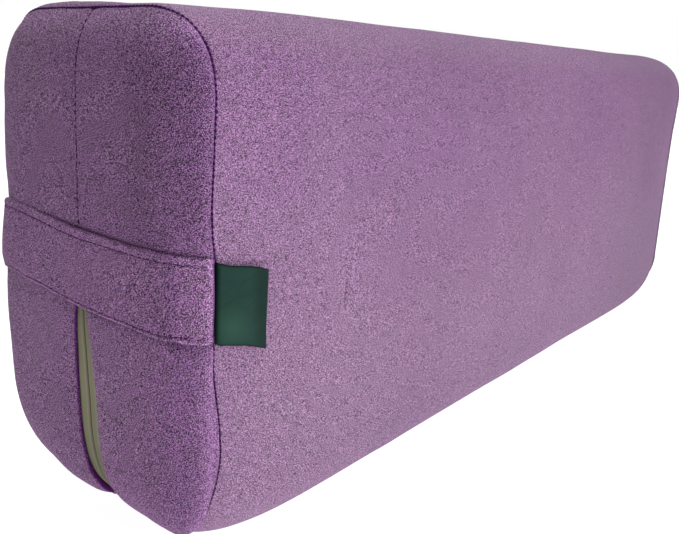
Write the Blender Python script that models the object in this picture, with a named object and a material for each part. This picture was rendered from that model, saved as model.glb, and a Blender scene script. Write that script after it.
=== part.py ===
# Rectangular yoga bolster: a foam block in a wadding wrap and a lining, inside a
# zipped velour cover with a carrying strap across one end.
# Metres, +Z up, +X along the length away from the strap end. The bolster stands on
# its narrow long side: z = 0 is the underside, x = y = 0 the middle of its outline.

import bpy
import bmesh
import math
import numpy as np
from mathutils import Vector

for ob in list(bpy.data.objects):
    bpy.data.objects.remove(ob, do_unlink=True)

# ---------------------------------------------------------------- dimensions
MM = 0.001
GAP = 0.3 * MM                  # clearance kept between neighbouring pieces

HALF_LEN = 294.7 * MM           # middle to the ring seam at either end
HALF_WID = 78.7 * MM            # half width at the ring seam
SEAM_LOW = 12.7 * MM            # ring seam, lowest point
SEAM_TOP = 248.7 * MM           # ring seam, highest point
CORNER_R = 38.5 * MM            # corner radius of the section
SWELL_SIDE = 3.2 * MM           # the stuffed body stands proud of its ring seams
SWELL_TOP = 1.3 * MM
SWELL_LOW = SEAM_LOW
CROWN_SIDE = 3.1 * MM           # slight belly of the broad sides
SWELL_POWER = 6.0
CROWN_DEPTH = 12.8 * MM         # how far an end stands out past its ring seam
CROWN_INSET = 34.7 * MM         # width of the rolled edge round an end
CROWN_FULL = 7.1 * MM           # extra fullness of the rolled edge at the sides

COVER_T = 1.5 * MM              # velour with its bonded backing
SEAM_ALLOW = 5.0 * MM           # turned-in seam allowance
LIP_H = 4.4 * MM                # turned-up lips either side of the zip
SLIT_HALF = 4.3 * MM            # half opening between the lips, underside
GAPE_HALF = 6.9 * MM            # widest half opening, on the end
LINER_T = 0.6 * MM
WRAP_T = 10.0 * MM              # wadding round the foam
CHANNEL_HALF = 13.6 * MM        # channel that the zip lies in
CHANNEL_D = 9.3 * MM

STRAP_W = 38.0 * MM
STRAP_T = 2.4 * MM
STRAP_Z = 131.0 * MM            # height of the strap's middle
STRAP_OFF = 6.0 * MM            # clear space behind the strap, in the middle
TAIL_T = 1.8 * MM
LABEL_L = 34.0 * MM
LABEL_H = 37.0 * MM
LABEL_T = 0.9 * MM

TAPE_W = 12.5 * MM              # outer edge of each zip tape, from the middle
TAPE_T = 0.7 * MM
TAPE_D = 4.7 * MM               # depth of the tape below the surface
ZIP_HALF_GAP = 0.6 * MM
COIL_W = 1.9 * MM
COIL_T = 1.3 * MM
ZIP_TOP = 150.0 * MM            # zip starts behind the strap
ZIP_END = 252.0 * MM            # and ends near the plain end of the underside
SLIDER_X = 232.0 * MM           # slider parked, zip closed
SLIDER_L = 11.0 * MM
SLIDER_W = 7.4 * MM
TAB_L = 21.0 * MM
TAB_W = 5.0 * MM
TAB_T = 1.0 * MM

X_SHIFT = (CROWN_DEPTH + STRAP_OFF + STRAP_T - CROWN_DEPTH) / 2  # centres the outline


# ---------------------------------------------------------------- materials
def material(name, colour, rough=0.8, metal=0.0, sheen=0.0):
    m = bpy.data.materials.new(name)
    m.use_nodes = True
    b = m.node_tree.nodes["Principled BSDF"]
    b.inputs["Base Color"].default_value = (*colour, 1)
    b.inputs["Roughness"].default_value = rough
    b.inputs["Metallic"].default_value = metal
    b.inputs["Sheen Weight"].default_value = sheen
    return m


VELOUR = (0.30, 0.145, 0.33)
SAGE = (0.30, 0.31, 0.20)

root = bpy.data.objects.new("bolster", None)
root.location = (X_SHIFT, 0, 0)
bpy.context.scene.collection.objects.link(root)


def add(name, verts, faces, mat, origin=(0, 0, 0), parent=None, smooth=True):
    """Makes an object whose vertices are given in the bolster's own coordinates."""
    o = Vector(origin)
    me = bpy.data.meshes.new(name)
    me.from_pydata([tuple(Vector(v) - o) for v in verts], [], faces)
    me.update()
    bm = bmesh.new()
    bm.from_mesh(me)
    bmesh.ops.recalc_face_normals(bm, faces=bm.faces)
    bm.to_mesh(me)
    bm.free()
    ob = bpy.data.objects.new(name, me)
    bpy.context.scene.collection.objects.link(ob)
    ob.parent = parent or root
    ob.location = o - (Vector(parent.location) if parent else Vector((0, 0, 0)))
    ob.data.materials.append(material(name, *mat))
    if smooth:
        me.shade_smooth()
        me.set_sharp_from_angle(angle=math.radians(40))
    return ob


def thicken(ob, t, offset=-1.0):
    m = ob.modifiers.new("thickness", "SOLIDIFY")
    m.thickness = t
    m.offset = offset
    m.use_even_offset = True
    m.use_quality_normals = True
    m.use_rim = True
    return m


def helper(ob):
    ob.hide_render = True
    ob.display_type = "WIRE"
    return ob


def boolean(ob, other, operation):
    m = ob.modifiers.new(operation.lower(), "BOOLEAN")
    m.object = other
    m.operation = operation
    m.solver = "EXACT"
    return m


def grid_faces(rows, cols, closed=False):
    n = cols if closed else cols - 1
    return [
        (r * cols + c, r * cols + (c + 1) % cols,
         (r + 1) * cols + (c + 1) % cols, (r + 1) * cols + c)
        for r in range(rows - 1) for c in range(n)
    ]


def prism(outline, lo, hi, axis):
    """Closed prism: an outline in the plane across axis, from lo to hi along it."""
    def place(p, h):
        return {"X": (h, p[0], p[1]), "Y": (p[0], h, p[1]), "Z": (p[0], p[1], h)}[axis]
    n = len(outline)
    v = [place(p, lo) for p in outline] + [place(p, hi) for p in outline]
    f = [tuple(range(n))[::-1], tuple(range(n, 2 * n))]
    f += [(i, (i + 1) % n, n + (i + 1) % n, n + i) for i in range(n)]
    return v, f


# ---------------------------------------------------------------- body form
STATIONS = [0.5, 0.72, 0.83, 0.895, 0.94, 0.975, 1.0]     # shares of the half length


def fullness(x):
    """0 at a ring seam, 1 over the middle half of the length; straight between stations."""
    share = [1.0 - ((k - 0.5) / 0.5) ** SWELL_POWER for k in STATIONS]
    return float(np.interp(abs(x) / HALF_LEN, STATIONS, share))


def underside(x):
    return SEAM_LOW - SWELL_LOW * fullness(x)


def arc(cy, cz, r, a0, a1, n):
    return [(cy + r * math.cos(math.radians(a0 + (a1 - a0) * k / n)),
             cz + r * math.sin(math.radians(a0 + (a1 - a0) * k / n)))
            for k in range(n + 1)]


def half_section(hw, lo, hi, r, crown=0.0, n_arc=5, start=0.0, mids=(), sides=None):
    """Section points (y, z) from the underside's middle up the +Y side to the top's middle."""
    pts = [(start, lo)] + [(m, lo) for m in mids]
    pts += arc(hw - r, lo + r, r, -90, 0, n_arc)
    span = hi - lo - 2 * r
    pts += [(hw, z) for z in (sides or [lo + r + span * k / 4 for k in (1, 2, 3)])]
    pts += arc(hw - r, hi - r, r, 0, 90, n_arc)
    pts += [(0.0, hi)]
    out = []
    for y, z in pts:
        w = (z - (lo + hi) / 2) / ((hi - lo) / 2)
        u = min(y / hw, 1.0)
        out.append((y + crown * (1 - w * w) * u ** 6, z))
    return out


def full_section(half, open_at_start=False):
    other = [(-y, z) for y, z in reversed(half[:-1])]
    return half + (other if open_at_start else other[:-1])


def section_at(x, inset=0.0, channel=False, start=0.0, mids=(), n_arc=5, open_ring=False, edge=CHANNEL_HALF):
    f = fullness(x)
    hw = HALF_WID + SWELL_SIDE * f - inset
    lo = SEAM_LOW - SWELL_LOW * f + inset
    hi = SEAM_TOP + SWELL_TOP * f - inset
    half = half_section(hw, lo, hi, CORNER_R - inset, CROWN_SIDE * f, n_arc, start, mids)
    if channel:
        top = underside(x) + channel + 3 * MM * (1 - f)      # deeper where the zip turns up
        half = [(0.0, top), (edge, top), (edge + 2 * MM, lo)] + half[1:]
    return full_section(half, open_ring)


# ---------------------------------------------------------------- zip route
def zip_route():
    """Centreline profile in (x, z), eased round the bottom edge, with inward normals."""
    p = [(-(HALF_LEN + CROWN_DEPTH), z)
         for z in np.linspace(ZIP_TOP, SEAM_LOW + CROWN_INSET, 60)]
    p += [(-(HALF_LEN + CROWN_DEPTH * math.sin(t)), SEAM_LOW + CROWN_INSET * (1 - math.cos(t)))
          for t in np.linspace(math.pi / 2, 0, 60)]
    for x in np.linspace(-HALF_LEN, ZIP_END, 600):
        a = min(max((-x - 235 * MM) / (30 * MM), 0.0), 1.0)
        p.append((x, underside(x) * a * a * (3 - 2 * a)))       # dead straight where the slider runs
    p = np.array(p)
    s = np.r_[0, np.cumsum(np.linalg.norm(np.diff(p, axis=0), axis=1))]
    q = np.arange(0, s[-1], 1 * MM)
    r = np.stack([np.interp(q, s, p[:, k]) for k in (0, 1)], 1)
    n = 30
    kernel = np.exp(-0.5 * (np.arange(-n, n + 1) / 9.0) ** 2)
    kernel /= kernel.sum()
    ends = np.arange(1, n + 1)[:, None]
    pad = np.vstack([r[0] - (r[1] - r[0]) * ends[::-1], r, r[-1] + (r[-1] - r[-2]) * ends])
    c = np.stack([np.convolve(pad[:, i], kernel, "valid") for i in (0, 1)], 1)
    t = np.gradient(c, axis=0)
    t /= np.linalg.norm(t, axis=1)[:, None]
    return c, np.column_stack([-t[:, 1], t[:, 0]])


ROUTE, INWARD = zip_route()


def route_rows(last_x, first_z=ZIP_TOP, step=6):
    """Indices of the route's points to model at: close together round the bend only."""
    ids, last = [], -999
    for i, (x, z) in enumerate(ROUTE):
        if x > last_x or z > first_z:
            continue
        bend = z < 0.062 and x < -0.19
        if i - last >= (step if bend else 90) or not ids:
            ids.append(i)
            last = i
    end = int(np.argmin(abs(ROUTE[:, 0] - last_x) + (ROUTE[:, 1] > 0.02)))
    if end - ids[-1] < 4:
        ids[-1] = end
    else:
        ids.append(end)
    return ids


def along_zip(depth, last_x, first_z=ZIP_TOP):
    return [ROUTE[i] + INWARD[i] * depth for i in route_rows(last_x, first_z)]


def slit_half(x):
    """Half opening between the lips along the underside."""
    def ease(a):
        a = min(max(a, 0.0), 1.0)
        return a * a * (3 - 2 * a)
    near = 1.3 * MM + (SLIT_HALF - 1.3 * MM) * ease((x + HALF_LEN) / (30 * MM))
    return near + (GAP / 2 - near) * ease((x - 256 * MM) / (14 * MM))


# ---------------------------------------------------------------- foam, wadding, lining
def sleeve(name, inset, reach, mat, channel, thickness):
    """Closed-round tube of sheet that follows the body's section."""
    xs = sorted({s * k * HALF_LEN for k in STATIONS[:-1] for s in (-1, 1)} | {-reach, reach})
    rows = [section_at(x, inset, channel, n_arc=5) for x in xs]
    v = [(x, y, z) for x, row in zip(xs, rows) for y, z in row]
    ob = add(name, v, grid_faces(len(xs), len(rows[0]), True), mat)
    thicken(ob, thickness)
    return ob


CORE_INSET = COVER_T + GAP + LINER_T + GAP + WRAP_T + GAP
LINER_REACH = HALF_LEN - COVER_T - 2 * GAP

core_half = LINER_REACH - GAP - LINER_T - GAP - WRAP_T - GAP
xs = sorted({s * k * HALF_LEN for k in STATIONS[:5] for s in (-1, 1)} | {-core_half, core_half})


def stuffing_section(x, inset, start=None):
    """Section of the stuffing, a set distance inside the cover's outer face."""
    f = fullness(x)
    half = half_section(HALF_WID + SWELL_SIDE * f - inset, underside(x) + inset,
                        SEAM_TOP + SWELL_TOP * f - inset, CORNER_R - inset, 0.0, 5, start=start or 0.0)
    return full_section(half, start is not None)


rows = [stuffing_section(x, CORE_INSET) for x in xs]
n = len(rows[0])
v = [(x, y, z) for x, row in zip(xs, rows) for y, z in row]
f = grid_faces(len(xs), n, True) + [tuple(range(n)), tuple((len(xs) - 1) * n + i for i in range(n))]
foam = add("foam_core", v, f, ((0.86, 0.83, 0.68), 0.9))

# wadding wrapped once round the foam, its two edges stopping either side of the zip channel
wrap_in = COVER_T + GAP + LINER_T + GAP
edge = CHANNEL_HALF + 3.2 * MM
rows = [stuffing_section(x, wrap_in, edge) for x in xs]
v = [(x, y, z) for x, row in zip(xs, rows) for y, z in row]
n = len(rows[0])
inner = [(x, y, z) for x in xs for y, z in stuffing_section(x, CORE_INSET - GAP, edge)]
faces = grid_faces(len(xs), n)
off = len(v)
faces += [tuple(off + i for i in reversed(q)) for q in grid_faces(len(xs), n)]
for c in range(n - 1):
    faces.append((c, off + c, off + c + 1, c + 1))
    b = (len(xs) - 1) * n
    faces.append((b + c, b + c + 1, off + b + c + 1, off + b + c))
for r in range(len(xs) - 1):
    faces.append((r * n, (r + 1) * n, off + (r + 1) * n, off + r * n))
    a = r * n + n - 1
    faces.append((a, off + a, off + a + n, a + n))
add("wadding_wrap", v + inner, faces, ((0.90, 0.90, 0.88), 1.0))

# wadding slabs that close the ends of the wrap
for side, name in ((-1, "wadding_end_strap_side"), (1, "wadding_end_plain_side")):
    a = side * (core_half + GAP)
    b = side * (core_half + WRAP_T)
    g = wrap_in + 1.5 * MM
    xo = LINER_REACH
    fl = fullness(xo)
    half = half_section(HALF_WID + SWELL_SIDE * fl - g, SEAM_LOW - SWELL_LOW * fl + g + CHANNEL_D,
                        SEAM_TOP + SWELL_TOP * fl - g, CORNER_R - g, 0.0, 5)
    v, f = prism(full_section(half), min(a, b), max(a, b), "X")
    add(name, v, f, ((0.90, 0.90, 0.88), 1.0))

sleeve("inner_liner", COVER_T + GAP, LINER_REACH - 0.1 * MM, ((0.80, 0.78, 0.74), 0.9), CHANNEL_D, LINER_T)
for side, name in ((-1, "liner_end_strap_side"), (1, "liner_end_plain_side")):
    x1 = side * (LINER_REACH - GAP)
    x0 = x1 - side * LINER_T
    edge = section_at(x0, COVER_T + GAP + LINER_T + 2 * GAP, CHANNEL_D + LINER_T + 2 * GAP, n_arc=5,
                      edge=CHANNEL_HALF + 2 * MM)
    edge = [(y * 0.985, z) for y, z in edge]
    v, f = prism(edge, min(x0, x1), max(x0, x1), "X")
    add(name, v, f, ((0.80, 0.78, 0.74), 0.9))


# ---------------------------------------------------------------- cover, long wrap
def cover_body():
    """One long panel round the four long sides. Its two edges meet along the middle of the
    underside, turned in as lips, and its ends are turned in as seam allowance."""
    xs = [s * k * HALF_LEN for k in STATIONS for s in (-1, 1)] + [254 * MM, 256 * MM, 270 * MM]
    xs = sorted(xs)
    verts, ring_len = [], None

    def row(x, turned):
        s = slit_half(x)
        lo = underside(x)
        lip = LIP_H
        if x < ZIP_END + 2 * MM:
            tape = ROUTE + INWARD * TAPE_D
            k = int(np.argmin(abs(tape[:, 0] - x) + (tape[:, 1] > 0.03)))
            lip = min(LIP_H, tape[k, 1] - lo - 2 * GAP)
        else:
            lip = 3.0 * MM
        sec = section_at(x, start=s, mids=(0.020,), open_ring=True)
        sec = [(s, lo + lip)] + sec + [(-s, lo + lip)]
        if not turned:
            return sec
        f = fullness(x)
        out = []
        for y, z in sec:
            cy = min(max(y, -(HALF_WID - CORNER_R)), HALF_WID - CORNER_R)
            cz = min(max(z, SEAM_LOW + CORNER_R), SEAM_TOP - CORNER_R)
            d = Vector((y - cy, z - cz))
            d = d.normalized() * SEAM_ALLOW if d.length > 1e-6 else Vector((0, 0))
            out.append((y - d.x, z - d.y))
        return out

    stations = [(xs[0], True)] + [(x, False) for x in xs] + [(xs[-1], True)]
    for x, turned in stations:
        sec = row(x, turned)
        ring_len = len(sec)
        verts += [(x, y, z) for y, z in sec]
    faces = []
    K = len(stations)
    for q in grid_faces(K, ring_len):
        r, c = q[0] // ring_len, q[0] % ring_len
        near_zip = c < 3 or c >= ring_len - 4          # the zip crosses the ring seam here
        if r in (0, K - 2) and near_zip:
            continue
        faces.append(q)
    used = sorted({i for q in faces for i in q})
    index = {old: new for new, old in enumerate(used)}
    verts = [verts[i] for i in used]
    faces = [tuple(index[i] for i in q) for q in faces]
    ob = add("cover_body", verts, faces, (VELOUR, 0.85, 0.0, 0.4))
    return ob


def face_outward(ob, test):
    """Turns every face so that the one nearest to the test point faces towards it."""
    me = ob.data
    p = Vector(test)
    best = min(me.polygons, key=lambda q: (q.center + ob.location - p).length)
    if best.normal.dot(p - best.center - ob.location) < 0:
        me.flip_normals()


body = cover_body()
face_outward(body, (0, 0, 0.5))
thicken(body, COVER_T)


# ---------------------------------------------------------------- cover, ends
def rim_gap(y, z):
    """Space between body and end at the ring seam: wider where the strap's tails go in."""
    if abs(y) < 0.06:
        return GAP * (3 if z < SEAM_LOW + 1 * MM and abs(y) < 0.03 else 1)
    a = min(max((abs(z - STRAP_Z) - STRAP_W / 2 - 1 * MM) / (8 * MM), 0.0), 1.0)
    a = 1 - a * a * (3 - 2 * a)
    return GAP + (TAIL_T + GAP) * a


def end_ring(inset, full, r, n_arc=5):
    sides = [STRAP_Z + k * MM for k in (-28, -20, 0, 20, 28)]
    half = half_section(HALF_WID - inset + full, SEAM_LOW + inset, SEAM_TOP - inset, r, 0.0, n_arc,
                        mids=(0.016,), sides=sides)
    return full_section(half)


def cover_end(name, side, tails, zip_gap):
    """A domed end panel with its edge turned in, open at the rim."""
    rings = []
    r0 = end_ring(SEAM_ALLOW, 0, CORNER_R - SEAM_ALLOW)
    r1 = end_ring(0, 0, CORNER_R)
    gap = rim_gap if tails else (lambda y, z: rim_gap(y if abs(y) < 0.03 else 0.05, z))
    rings.append([(HALF_LEN + gap(*b), *a) for a, b in zip(r0, r1)])
    rings.append([(HALF_LEN + gap(*b), *b) for b in r1])
    for deg in (14, 28, 43, 60, 90):
        t = math.radians(deg)
        i = CROWN_INSET * (1 - math.cos(t))
        ring = end_ring(i, CROWN_FULL * math.sin(t) * math.cos(t), CORNER_R - i * 0.5)
        rings.append([(HALF_LEN + gap(*b) * (1 - math.sin(t)) + CROWN_DEPTH * math.sin(t), *a)
                      for a, b in zip(ring, r1)])
    n = len(r1)
    v = [(side * x, y, z) for ring in rings for x, y, z in ring]
    f = grid_faces(len(rings), n, True)
    if zip_gap:
        f = [q for q in f if not (q[0] // n == 0 and (q[0] % n < 2 or q[0] % n >= n - 2))]
    f.append(tuple((len(rings) - 1) * n + i for i in range(n)))
    used = sorted({i for q in f for i in q})
    index = {old: new for new, old in enumerate(used)}
    ob = add(name, [v[i] for i in used], [tuple(index[i] for i in q) for q in f], (VELOUR, 0.85, 0.0, 0.4))
    face_outward(ob, (side * 1.0, 0, 0.13))
    thicken(ob, COVER_T)
    return ob


def gape(z):
    """Half opening of the end's middle seam: sewn shut above the strap, zipped below."""
    sewn = GAP / 2
    top, widest, low = STRAP_Z + STRAP_W / 2 - 4 * MM, 57 * MM, SEAM_LOW
    if z >= top:
        return sewn
    if z >= widest:
        a = (top - z) / (top - widest)
        return sewn + (GAPE_HALF - sewn) * math.sin(a * math.pi / 2) ** 1.1
    a = max((z - low) / (widest - low), 0.0)
    return 1.3 * MM + (GAPE_HALF - 1.3 * MM) * math.sin(a * math.pi / 2) ** 1.2


for s, name in ((1, "cover_end_left_half"), (-1, "cover_end_right_half")):
    half = cover_end(name, -1, True, True)
    zs = [-0.02, 0.0, SEAM_LOW] + [SEAM_LOW + (57 * MM - SEAM_LOW) * k / 5 for k in range(1, 6)]
    zs += [57 * MM + 89 * MM * k / 8 for k in range(1, 9)] + [0.16, 0.27]
    outline = [(s * gape(z), z) for z in zs] + [(s * 0.12, 0.27), (s * 0.12, -0.02)]
    v, f = prism(outline, -0.34, -0.28, "X")
    keep = helper(add("keep_" + name, v, f, (VELOUR,)))
    boolean(half, keep, "INTERSECT")
cover_end("cover_end_plain", 1, False, True)


# ---------------------------------------------------------------- wadding crowns in the ends
def crown_pad(name, side):
    """Solid wadding that fills the domed end, through the hole left by the seam allowances."""
    under = COVER_T + 2.5 * GAP
    rings = []
    for deg in (34, 43, 60, 90):
        t = math.radians(deg)
        nx, ni = CROWN_INSET * math.sin(t), CROWN_DEPTH * math.cos(t)
        nx, ni = nx / math.hypot(nx, ni), ni / math.hypot(nx, ni)
        i = CROWN_INSET * (1 - math.cos(t))
        ring = end_ring(i + under * ni, CROWN_FULL * math.sin(t) * math.cos(t), CORNER_R - i * 0.5 - under * ni)
        rings.append([(HALF_LEN + CROWN_DEPTH * math.sin(t) - under * nx, *p) for p in ring])
    neck = end_ring(SEAM_ALLOW + 2 * MM, 0, CORNER_R - SEAM_ALLOW - 2 * MM)
    rings.insert(0, [(HALF_LEN + COVER_T + TAIL_T + 3 * GAP, *p) for p in neck])
    rings.insert(0, [(HALF_LEN - COVER_T + 0.2 * MM, *p) for p in neck])
    n = len(rings[0])
    v = [(side * x, y, z) for ring in rings for x, y, z in ring]
    f = grid_faces(len(rings), n, True)
    f.append(tuple(range(n)))
    f.append(tuple((len(rings) - 1) * n + i for i in range(n)))
    return add(name, v, f, ((0.90, 0.90, 0.88), 1.0))


crown = crown_pad("crown_pad_strap_side", -1)
crown_pad("crown_pad_plain_side", 1)
ids = range(0, len(ROUTE), 8)
deep_line = [ROUTE[i] + INWARD[i] * (TAPE_D + TAPE_T + GAP + COIL_T + 0.6 * MM) for i in ids if ROUTE[i][0] < -0.255]
outline = [(-0.33, 0.156), (deep_line[0][0], 0.156)] + [tuple(p) for p in deep_line] + [(deep_line[-1][0], -0.03), (-0.33, -0.03)]
v, f = prism(outline, -CHANNEL_HALF, CHANNEL_HALF, "Y")
boolean(crown, helper(add("zip_channel_cutter", v, f, ((0.9, 0.9, 0.9),))), "DIFFERENCE")


# ---------------------------------------------------------------- carrying strap
def strap_line():
    """The strap's inner face seen from above, from the right ring seam to the left one."""
    right = []
    for t in np.linspace(0, math.pi / 2, 24):
        i = CROWN_INSET * (1 - math.cos(t))
        right.append((-(HALF_LEN + CROWN_DEPTH * math.sin(t)),
                      -(HALF_WID - i + CROWN_FULL * math.sin(t) * math.cos(t))))
    p = np.array(right + [(x, -y) for x, y in right[::-1]])
    s = np.r_[0, np.cumsum(np.linalg.norm(np.diff(p, axis=0), axis=1))]
    q = np.linspace(0, s[-1], 400)
    p = np.stack([np.interp(q, s, p[:, k]) for k in (0, 1)], 1)
    t = np.gradient(p, axis=0)
    kernel = np.ones(41) / 41
    t = np.stack([np.convolve(np.pad(t[:, i], 20, "edge"), kernel, "valid") for i in (0, 1)], 1)
    t /= np.linalg.norm(t, axis=1)[:, None]
    n = np.column_stack([-t[:, 1], t[:, 0]])
    if n[200, 0] > 0:
        n = -n
    lift = 0.6 * MM + (STRAP_OFF - 0.6 * MM) * np.sin(math.pi * q / s[-1]) ** 0.5
    lift[0] = lift[-1] = 0.6 * MM
    out = p + n * lift[:, None]
    s2 = np.r_[0, np.cumsum(np.linalg.norm(np.diff(out, axis=0), axis=1))]
    q2 = np.linspace(4.5 * MM, s2[-1] - 4.5 * MM, 25)
    return np.stack([np.interp(q2, s2, out[:, k]) for k in (0, 1)], 1)


line = strap_line()
v = [(x, y, STRAP_Z + w) for x, y in line for w in (-STRAP_W / 2, 0, STRAP_W / 2)]
strap = add("strap_band", v, grid_faces(len(line), 3), (VELOUR, 0.8, 0.0, 0.4),
            origin=(-(HALF_LEN + CROWN_DEPTH + STRAP_OFF), 0, STRAP_Z))
face_outward(strap, (-1.0, 0, STRAP_Z))
thicken(strap, STRAP_T, 1.0)

# the strap's sewn-in tails, between the body's and the end's seam allowances
for s, name in ((1, "strap_tail_left"), (-1, "strap_tail_right")):
    x0 = -(HALF_LEN + GAP)
    outline = [(x0, s * (HALF_WID - SEAM_ALLOW + 0.4 * MM)), (x0 - TAIL_T, s * (HALF_WID - SEAM_ALLOW + 0.4 * MM)),
               (x0 - TAIL_T, s * (HALF_WID + 0.2 * MM)), (x0 - 0.4 * TAIL_T, s * (HALF_WID + 1.0 * MM)),
               (x0, s * (HALF_WID + 0.2 * MM))]
    v, f = prism(outline, STRAP_Z - STRAP_W / 2, STRAP_Z + STRAP_W / 2, "Z")
    add(name, v, f, (VELOUR, 0.8, 0.0, 0.4))


# ---------------------------------------------------------------- side label
def side_surface(x, z):
    f = fullness(x)
    lo, hi = SEAM_LOW - SWELL_LOW * f, SEAM_TOP + SWELL_TOP * f
    w = (z - (lo + hi) / 2) / ((hi - lo) / 2)
    return HALF_WID + SWELL_SIDE * f + CROWN_SIDE * f * (1 - w * w)


hinge = (-(HALF_LEN - 0.8 * MM), -(HALF_WID + 2.2 * MM))
rows = []
for k in range(7):
    x = -(HALF_LEN - 0.8 * MM) + LABEL_L * k / 6
    rows += [(x, -(side_surface(x, STRAP_Z + w) + (1.5 if k == 0 else 0.5) * MM), STRAP_Z + w)
             for w in (-LABEL_H / 2, 0, LABEL_H / 2)]
label = add("side_label", rows, grid_faces(7, 3), ((0.02, 0.075, 0.055), 0.5), origin=(hinge[0], hinge[1], STRAP_Z))
face_outward(label, (-0.27, -1.0, STRAP_Z))
thicken(label, LABEL_T, 1.0)


# ---------------------------------------------------------------- zip
def strip(name, depth, thick, y0, y1, last_x, mat, first_z=ZIP_TOP):
    """A strip along the zip's route between two distances from its middle."""
    outer = along_zip(depth, last_x, first_z)
    inner = along_zip(depth + thick, last_x, first_z)
    v, f = [], []
    for a, b in zip(outer, inner):
        v += [(a[0], y0, a[1]), (a[0], y1, a[1]), (b[0], y1, b[1]), (b[0], y0, b[1])]
    n = len(outer)
    f = grid_faces(n, 4, True) + [(0, 1, 2, 3), tuple(4 * (n - 1) + i for i in (3, 2, 1, 0))]
    return add(name, v, f, mat)


for s, side in ((1, "left"), (-1, "right")):
    strip("zip_tape_" + side, TAPE_D, TAPE_T, s * ZIP_HALF_GAP, s * TAPE_W, ZIP_END - 1 * MM, (SAGE, 0.75))
    strip("zip_coil_" + side, TAPE_D + TAPE_T + GAP, COIL_T, s * ZIP_HALF_GAP, s * (ZIP_HALF_GAP + COIL_W),
          ZIP_END - 6 * MM, (SAGE, 0.5), ZIP_TOP - 8 * MM)


def box_piece(name, lo, hi, mat, bevel=0.0, parent=None, origin=None):
    v, f = prism([(lo[0], lo[1]), (hi[0], lo[1]), (hi[0], hi[1]), (lo[0], hi[1])], lo[2], hi[2], "Z")
    ob = add(name, v, f, mat, origin or tuple((a + b) / 2 for a, b in zip(lo, hi)), parent, smooth=False)
    if bevel:
        m = ob.modifiers.new("bevel", "BEVEL")
        m.width = bevel
        m.segments = 2
    return ob


METAL = ((0.42, 0.40, 0.36), 0.35, 1.0)
out_x = -(HALF_LEN + CROWN_DEPTH) + TAPE_D
box_piece("zip_start_stop", (out_x - GAP - 1.0 * MM, -2.6 * MM, ZIP_TOP - 7.5 * MM),
          (out_x - GAP, 2.6 * MM, ZIP_TOP - 4.5 * MM), METAL, 0.25 * MM)
for s, side in ((1, "left"), (-1, "right")):
    ya, yb = sorted((s * 0.75 * MM, s * 2.9 * MM))
    box_piece("zip_end_stop_" + side, (244.0 * MM, ya, TAPE_D - GAP - 1.0 * MM),
              (247.5 * MM, yb, TAPE_D - GAP), METAL, 0.2 * MM)

# slider: outer plate, neck between the tapes, inner plate over the coils, arch for the tab
z_out = TAPE_D - GAP
z_in = TAPE_D + TAPE_T + GAP + COIL_T + GAP
section = [(-SLIDER_W / 2, z_out - 1.2 * MM), (SLIDER_W / 2, z_out - 1.2 * MM), (SLIDER_W / 2, z_out),
           (0.3 * MM, z_out), (0.3 * MM, z_in), (0.46 * SLIDER_W, z_in), (0.46 * SLIDER_W, z_in + 0.9 * MM),
           (-0.46 * SLIDER_W, z_in + 0.9 * MM), (-0.46 * SLIDER_W, z_in), (-0.3 * MM, z_in),
           (-0.3 * MM, z_out), (-SLIDER_W / 2, z_out)]
v, f = prism(section, SLIDER_X - SLIDER_L / 2, SLIDER_X + SLIDER_L / 2, "X")
slider_at = (SLIDER_X, 0, z_out - 0.6 * MM)
slider = add("zip_slider", v, f, METAL, slider_at, smooth=False)
top = z_out - 0.7 * MM
foot = 4.0 * MM
arch = [(-foot, top), (-foot, 1.1 * MM), (-foot + 0.7 * MM, 0.5 * MM), (foot - 0.7 * MM, 0.5 * MM), (foot, 1.1 * MM), (foot, top),
        (foot - 1.0 * MM, top), (foot - 1.0 * MM, 1.4 * MM), (-foot + 1.0 * MM, 1.4 * MM), (-foot + 1.0 * MM, top)]
v, f = prism([(SLIDER_X + a, b) for a, b in arch], -1.0 * MM, 1.0 * MM, "Y")
boolean(slider, helper(add("slider_arch", v, f, METAL, smooth=False)), "UNION")

# pull tab: a flat ring at its root goes round the arch, its crossbar turns under it
tab_z = 2.3 * MM
pivot = (SLIDER_X, 0, tab_z)
cut = 1.45 * MM
h = TAB_W / 2
end = [(-TAB_L + 1.5 * MM, h), (-TAB_L, h - 1.5 * MM), (-TAB_L, -h + 1.5 * MM), (-TAB_L + 1.5 * MM, -h)]
outer = [(0.5 * MM, -h), (0.5 * MM, h)] + end
hole = [(-0.5 * MM, -cut), (-0.5 * MM, cut), (-5.4 * MM, cut), (-5.4 * MM, -cut)]
v = [(SLIDER_X + x, y, tab_z + w) for w in (-TAB_T / 2, TAB_T / 2) for x, y in outer + hole]
m = len(outer) + len(hole)
# flat faces of the ring: strips between the outer outline (0-5) and the hole (6-9)
flat = [(0, 1, 7, 6), (1, 2, 8, 7), (2, 3, 4, 5, 9, 8), (5, 0, 6, 9)]
f = [tuple(reversed(q)) for q in flat] + [tuple(m + i for i in q) for q in flat]
f += [(i, (i + 1) % 6, m + (i + 1) % 6, m + i) for i in range(6)]
f += [(6 + i, m + 6 + i, m + 6 + (i + 1) % 4, 6 + (i + 1) % 4) for i in range(4)]
add("zip_pull_tab", v, f, METAL, pivot, parent=slider, smooth=False)
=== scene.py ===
import math

import bmesh
import bpy
import numpy as np
from mathutils import Matrix, Vector


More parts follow.
